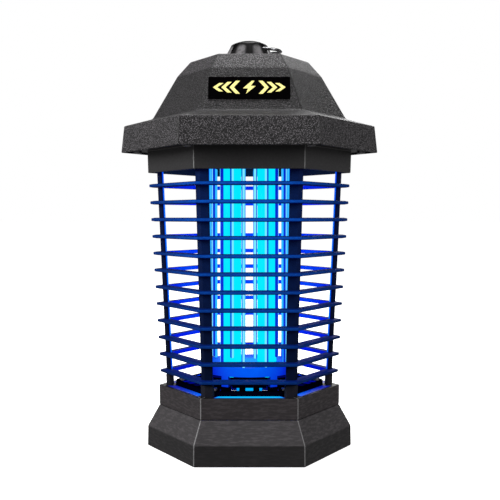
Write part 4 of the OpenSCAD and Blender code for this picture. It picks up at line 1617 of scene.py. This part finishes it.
@dataclass
class Hanger:
    """The fluted cap, its gasket and bolt, and the wire bail that turns in it."""

    shoulder: float = 14.4
    shoulder_height: float = 312.6
    flutes: int = 8
    flute_depth: float = 1.1
    flute_half: float = 17.0
    slot: float = 3.3
    bail_radius: float = 1.2
    bail_half: float = 10.0
    bail_reach: float = 25.6
    droop: float = 2.6
    pin_in: float = 4.2
    slot_floor: float = 307.0

    def build(self) -> None:
        """Builds the cap and the bail and dresses the rest."""
        self._cap()
        self._bail()
        dress(RUBBER, "cap_gasket")
        dress(PLATED, "hanger_bolt", "hanger_washer")

    def _cap(self) -> None:
        """Turns the cap with its flutes, and cuts the two slots.

        The radius follows the profile, less the flute depth times the square of a cosine across each flute, faded out
        near the foot and the shoulder.
        """
        low, high = extent("hanger_cap")
        foot, base, crown = high[0], low[2], high[2]
        rise = crown - self.shoulder_height
        bow = (self.shoulder**2 + rise**2) / (2 * rise)
        rim = np.linspace(self.shoulder - 1.4, 0.0, 8)
        dome = np.column_stack([rim, crown - bow + np.sqrt(bow**2 - rim**2)])
        start, stop = base + 0.5, self.shoulder_height - 0.8
        taper = np.column_stack([np.linspace(foot, self.shoulder, 15), np.linspace(start, stop, 15)])
        bend = np.array([(self.shoulder, stop), (self.shoulder, self.shoulder_height), tuple(dome[0])])
        t = np.linspace(0.0, 1.0, 6)[1:-1, None]
        turned = (1 - t) ** 2 * bend[0] + 2 * t * (1 - t) * bend[1] + t**2 * bend[2]
        profile = np.concatenate([[(0.0, base), (foot - 0.5, base)], taper, turned, dome])
        grid = lathe(profile, 192)
        bearing = np.degrees(np.arctan2(grid[..., 1], grid[..., 0]))
        pitch = 360.0 / self.flutes
        off = pitch / 2 - np.abs((bearing - pitch / 2 + 180.0) % pitch - pitch / 2)
        across = np.cos(np.clip(off / self.flute_half, 0.0, 1.0) * math.pi / 2) ** 2
        height = grid[..., 2]
        fade_in = np.clip((height - base - 1.0) / 1.2, 0.0, 1.0)
        fade = fade_in * np.clip((self.shoulder_height - 1.2 - height) / 1.4, 0.0, 1.0)
        shrink = 1 - self.flute_depth * across * fade / np.maximum(np.hypot(grid[..., 0], grid[..., 1]), 1.0)
        grid[..., :2] *= shrink[..., None]
        # painted highlight: the flutes are coloured lighter, as if lit, against the black ribs
        painted_light = np.clip(fade * across * 1.8, 0.0, 1.0)
        cap = Skin().add(grid, painted_light).build("hanger_cap_turned")
        cuts = Skin()
        for side_of in (-1.0, 1.0):
            y = side_of * self.bail_half
            near = (-foot - 2, y - self.slot / 2, self.slot_floor)
            cuts.add(slab(near, (foot + 2, y + self.slot / 2, crown + 3), 0.3))
        pierced(cap, cuts)
        settle(smoothed(cap, 38.0), CAP, "hanger_cap")

    def _bail(self) -> None:
        """Runs the wire in from one pin, out along a leg, round the half circle and back, then droops it."""
        _, high = extent("hanging_bail")
        pivot = high[2] - self.bail_radius
        leg = self.bail_reach - self.bail_radius - self.bail_half
        half, bend = self.bail_half, 1.6
        corner = np.radians(np.linspace(0.0, 90.0, 7))[1:-1]
        turn_in = np.column_stack([bend - bend * np.cos(corner), half - bend + bend * np.sin(corner)])
        arc = np.radians(np.linspace(90.0, -90.0, 41))
        loop = np.column_stack([leg + half * np.cos(arc), half * np.sin(arc)])
        straight = np.column_stack([np.linspace(bend, leg, 8)[:-1], np.full(7, half)])
        pin = np.column_stack([np.zeros(4), np.linspace(self.pin_in + self.bail_radius, half - bend, 4)])
        first = np.concatenate([pin, turn_in, straight])
        flat = np.concatenate([first, loop, (first * (1.0, -1.0))[::-1]])
        lean = math.radians(self.droop)
        path = np.column_stack([flat[:, 0] * math.cos(lean), flat[:, 1], pivot - flat[:, 0] * math.sin(lean)])
        normal = (math.sin(lean), 0.0, math.cos(lean))
        wire = Skin().add(tube(path, self.bail_radius, normal, 20))
        settle(smoothed(wire.build("bail_wire_loop")), BAIL, "hanging_bail")


@dataclass
class Electronics:
    """The circuit board above the ceiling and what is on it."""

    def build(self) -> None:
        """Dresses each part in its record colour."""
        dress(InnerPart("solder_mask", "board_laminate", 0.5, 0.4), "circuit_board")
        dress(SCREW, "board_screws")
        dress(InnerPart("cast_resin", "potting_black", 0.6, 0.55), "hv_transformer", "smoothing_capacitor")
        dress(InnerPart("dipped_blue", "capacitor_blue", 0.9, 0.3), "hv_capacitors")
        dress(InnerPart("winding_tape", "ferrite_yellow", 0.7, 0.5), "ballast_choke")
        dress(InnerPart("terminal_satin", "terminal_green", 0.8, 0.45), "terminal_block")
        dress(InnerPart("fuse_tube", "fuse_glass", 0.8, 0.15, clear=0.6), "fuse")
        dress(InnerPart("lead_sleeve", "lead_insulation", 0.5, 0.5), "lamp_leads", "hv_lead")


# ---------- studio ----------


@dataclass
class Softbox:
    """A square area light aimed at a point."""

    name: str
    place: Sequence[float]
    size: float
    power: float
    target: Sequence[float] = (0.0, 0.0, 0.16)

    def build(self) -> None:
        """Makes the light and aims it."""
        data = bpy.data.lights.new(self.name, "AREA")
        data.size = self.size
        data.energy = self.power
        lamp = bpy.data.objects.new(self.name, data)
        lamp.location = self.place
        lamp.rotation_euler = (Vector(self.target) - Vector(self.place)).to_track_quat("-Z", "Y").to_euler()
        bpy.context.scene.collection.objects.link(lamp)
        log.info("light %s: %.0f W", self.name, self.power)


@dataclass
class Studio:
    """Plain pale floor, white surroundings and soft light."""

    ambient: float = 0.25
    floor_light: float = 0.93
    floor_size: float = 60.0

    def build(self) -> None:
        """Builds the surroundings, the floor and the softboxes."""
        self._surroundings()
        self._floor()
        for box in (
            Softbox("overhead", (0.0, 0.12, 1.35), 0.45, 9.0),
            Softbox("front_left", (-1.7, -0.75, 0.9), 0.9, 44.0),
            Softbox("front_right", (1.2, -1.2, 0.75), 0.9, 18.0),
            Softbox("rear", (0.3, 1.5, 1.0), 1.0, 12.0),
        ):
            box.build()
        bpy.context.scene.view_settings.view_transform = "Standard"

    def _surroundings(self) -> None:
        """White to look at, and a soft even light on the object."""
        world = bpy.data.worlds.new("studio_white")
        world.use_nodes = True
        tree = world.node_tree
        seen = tree.nodes["Background"]
        seen.inputs["Color"].default_value = (1.0, 1.0, 1.0, 1.0)
        light = tree.nodes.new("ShaderNodeBackground")
        light.inputs["Strength"].default_value = self.ambient
        rays = tree.nodes.new("ShaderNodeLightPath")
        mix = tree.nodes.new("ShaderNodeMixShader")
        tree.links.new(rays.outputs["Is Camera Ray"], mix.inputs[0])
        tree.links.new(light.outputs[0], mix.inputs[1])
        tree.links.new(seen.outputs[0], mix.inputs[2])
        tree.links.new(mix.outputs[0], tree.nodes["World Output"].inputs["Surface"])
        bpy.context.scene.world = world

    def _floor(self) -> None:
        """A pale floor that takes a faint shadow. It stays under the tray, on which the lantern stands."""
        low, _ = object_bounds()
        half = self.floor_size / 2
        corners = [(-half, -half, low[2]), (half, -half, low[2]), (half, half, low[2]), (-half, half, low[2])]
        mesh = bpy.data.meshes.new("floor")
        mesh.from_pydata(corners, [], [(0, 1, 2, 3)])
        floor = bpy.data.objects.new("floor", mesh)
        bpy.context.scene.collection.objects.link(floor)
        recipe = Recipe("floor_white")
        mesh.materials.append(recipe.finished(
            Base_Color=(0.9, 0.9, 0.9), Roughness=1.0, Specular_IOR_Level=0.0,
            Emission_Color=(1.0, 1.0, 1.0), Emission_Strength=self.floor_light))
        floor.visible_diffuse = False
        floor.visible_glossy = False
        floor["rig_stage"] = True
        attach(floor, "tray")


@dataclass
class ViewCamera:
    """The camera in front of the lantern, a little above its middle and looking slightly down."""

    distance: float = 0.758
    height: float = 0.1801
    aside: float = 0.0005
    pitch: float = 1.962
    lens: float = 69.8

    def build(self) -> None:
        """Makes the camera and sets it as the scene's own."""
        low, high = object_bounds()
        data = bpy.data.cameras.new("view")
        data.lens = self.lens
        data.sensor_width = 36.0
        camera = bpy.data.objects.new("view", data)
        across, along = (low[0] + high[0]) / 2, (low[1] + high[1]) / 2
        camera.location = (across + self.aside, along - self.distance, low[2] + self.height)
        camera.rotation_euler = (math.radians(90 - self.pitch), 0.0, 0.0)
        bpy.context.scene.collection.objects.link(camera)
        bpy.context.scene.camera = camera


def main() -> None:
    """Builds the lantern and its studio."""
    logging.basicConfig(level=logging.INFO, format="%(name)s: %(message)s", force=True)
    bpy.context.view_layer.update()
    posts = Posts()
    ViewCamera().build()
    Tray().build()
    BaseRing().build(posts)
    GuardCage().build(posts)
    ZapGrid().build()
    UvLamp().build()
    HeadFrame().build()
    Hood().build()
    Hanger().build()
    Electronics().build()
    Studio().build()
    bpy.context.view_layer.update()


if __name__ == "__main__":
    main()
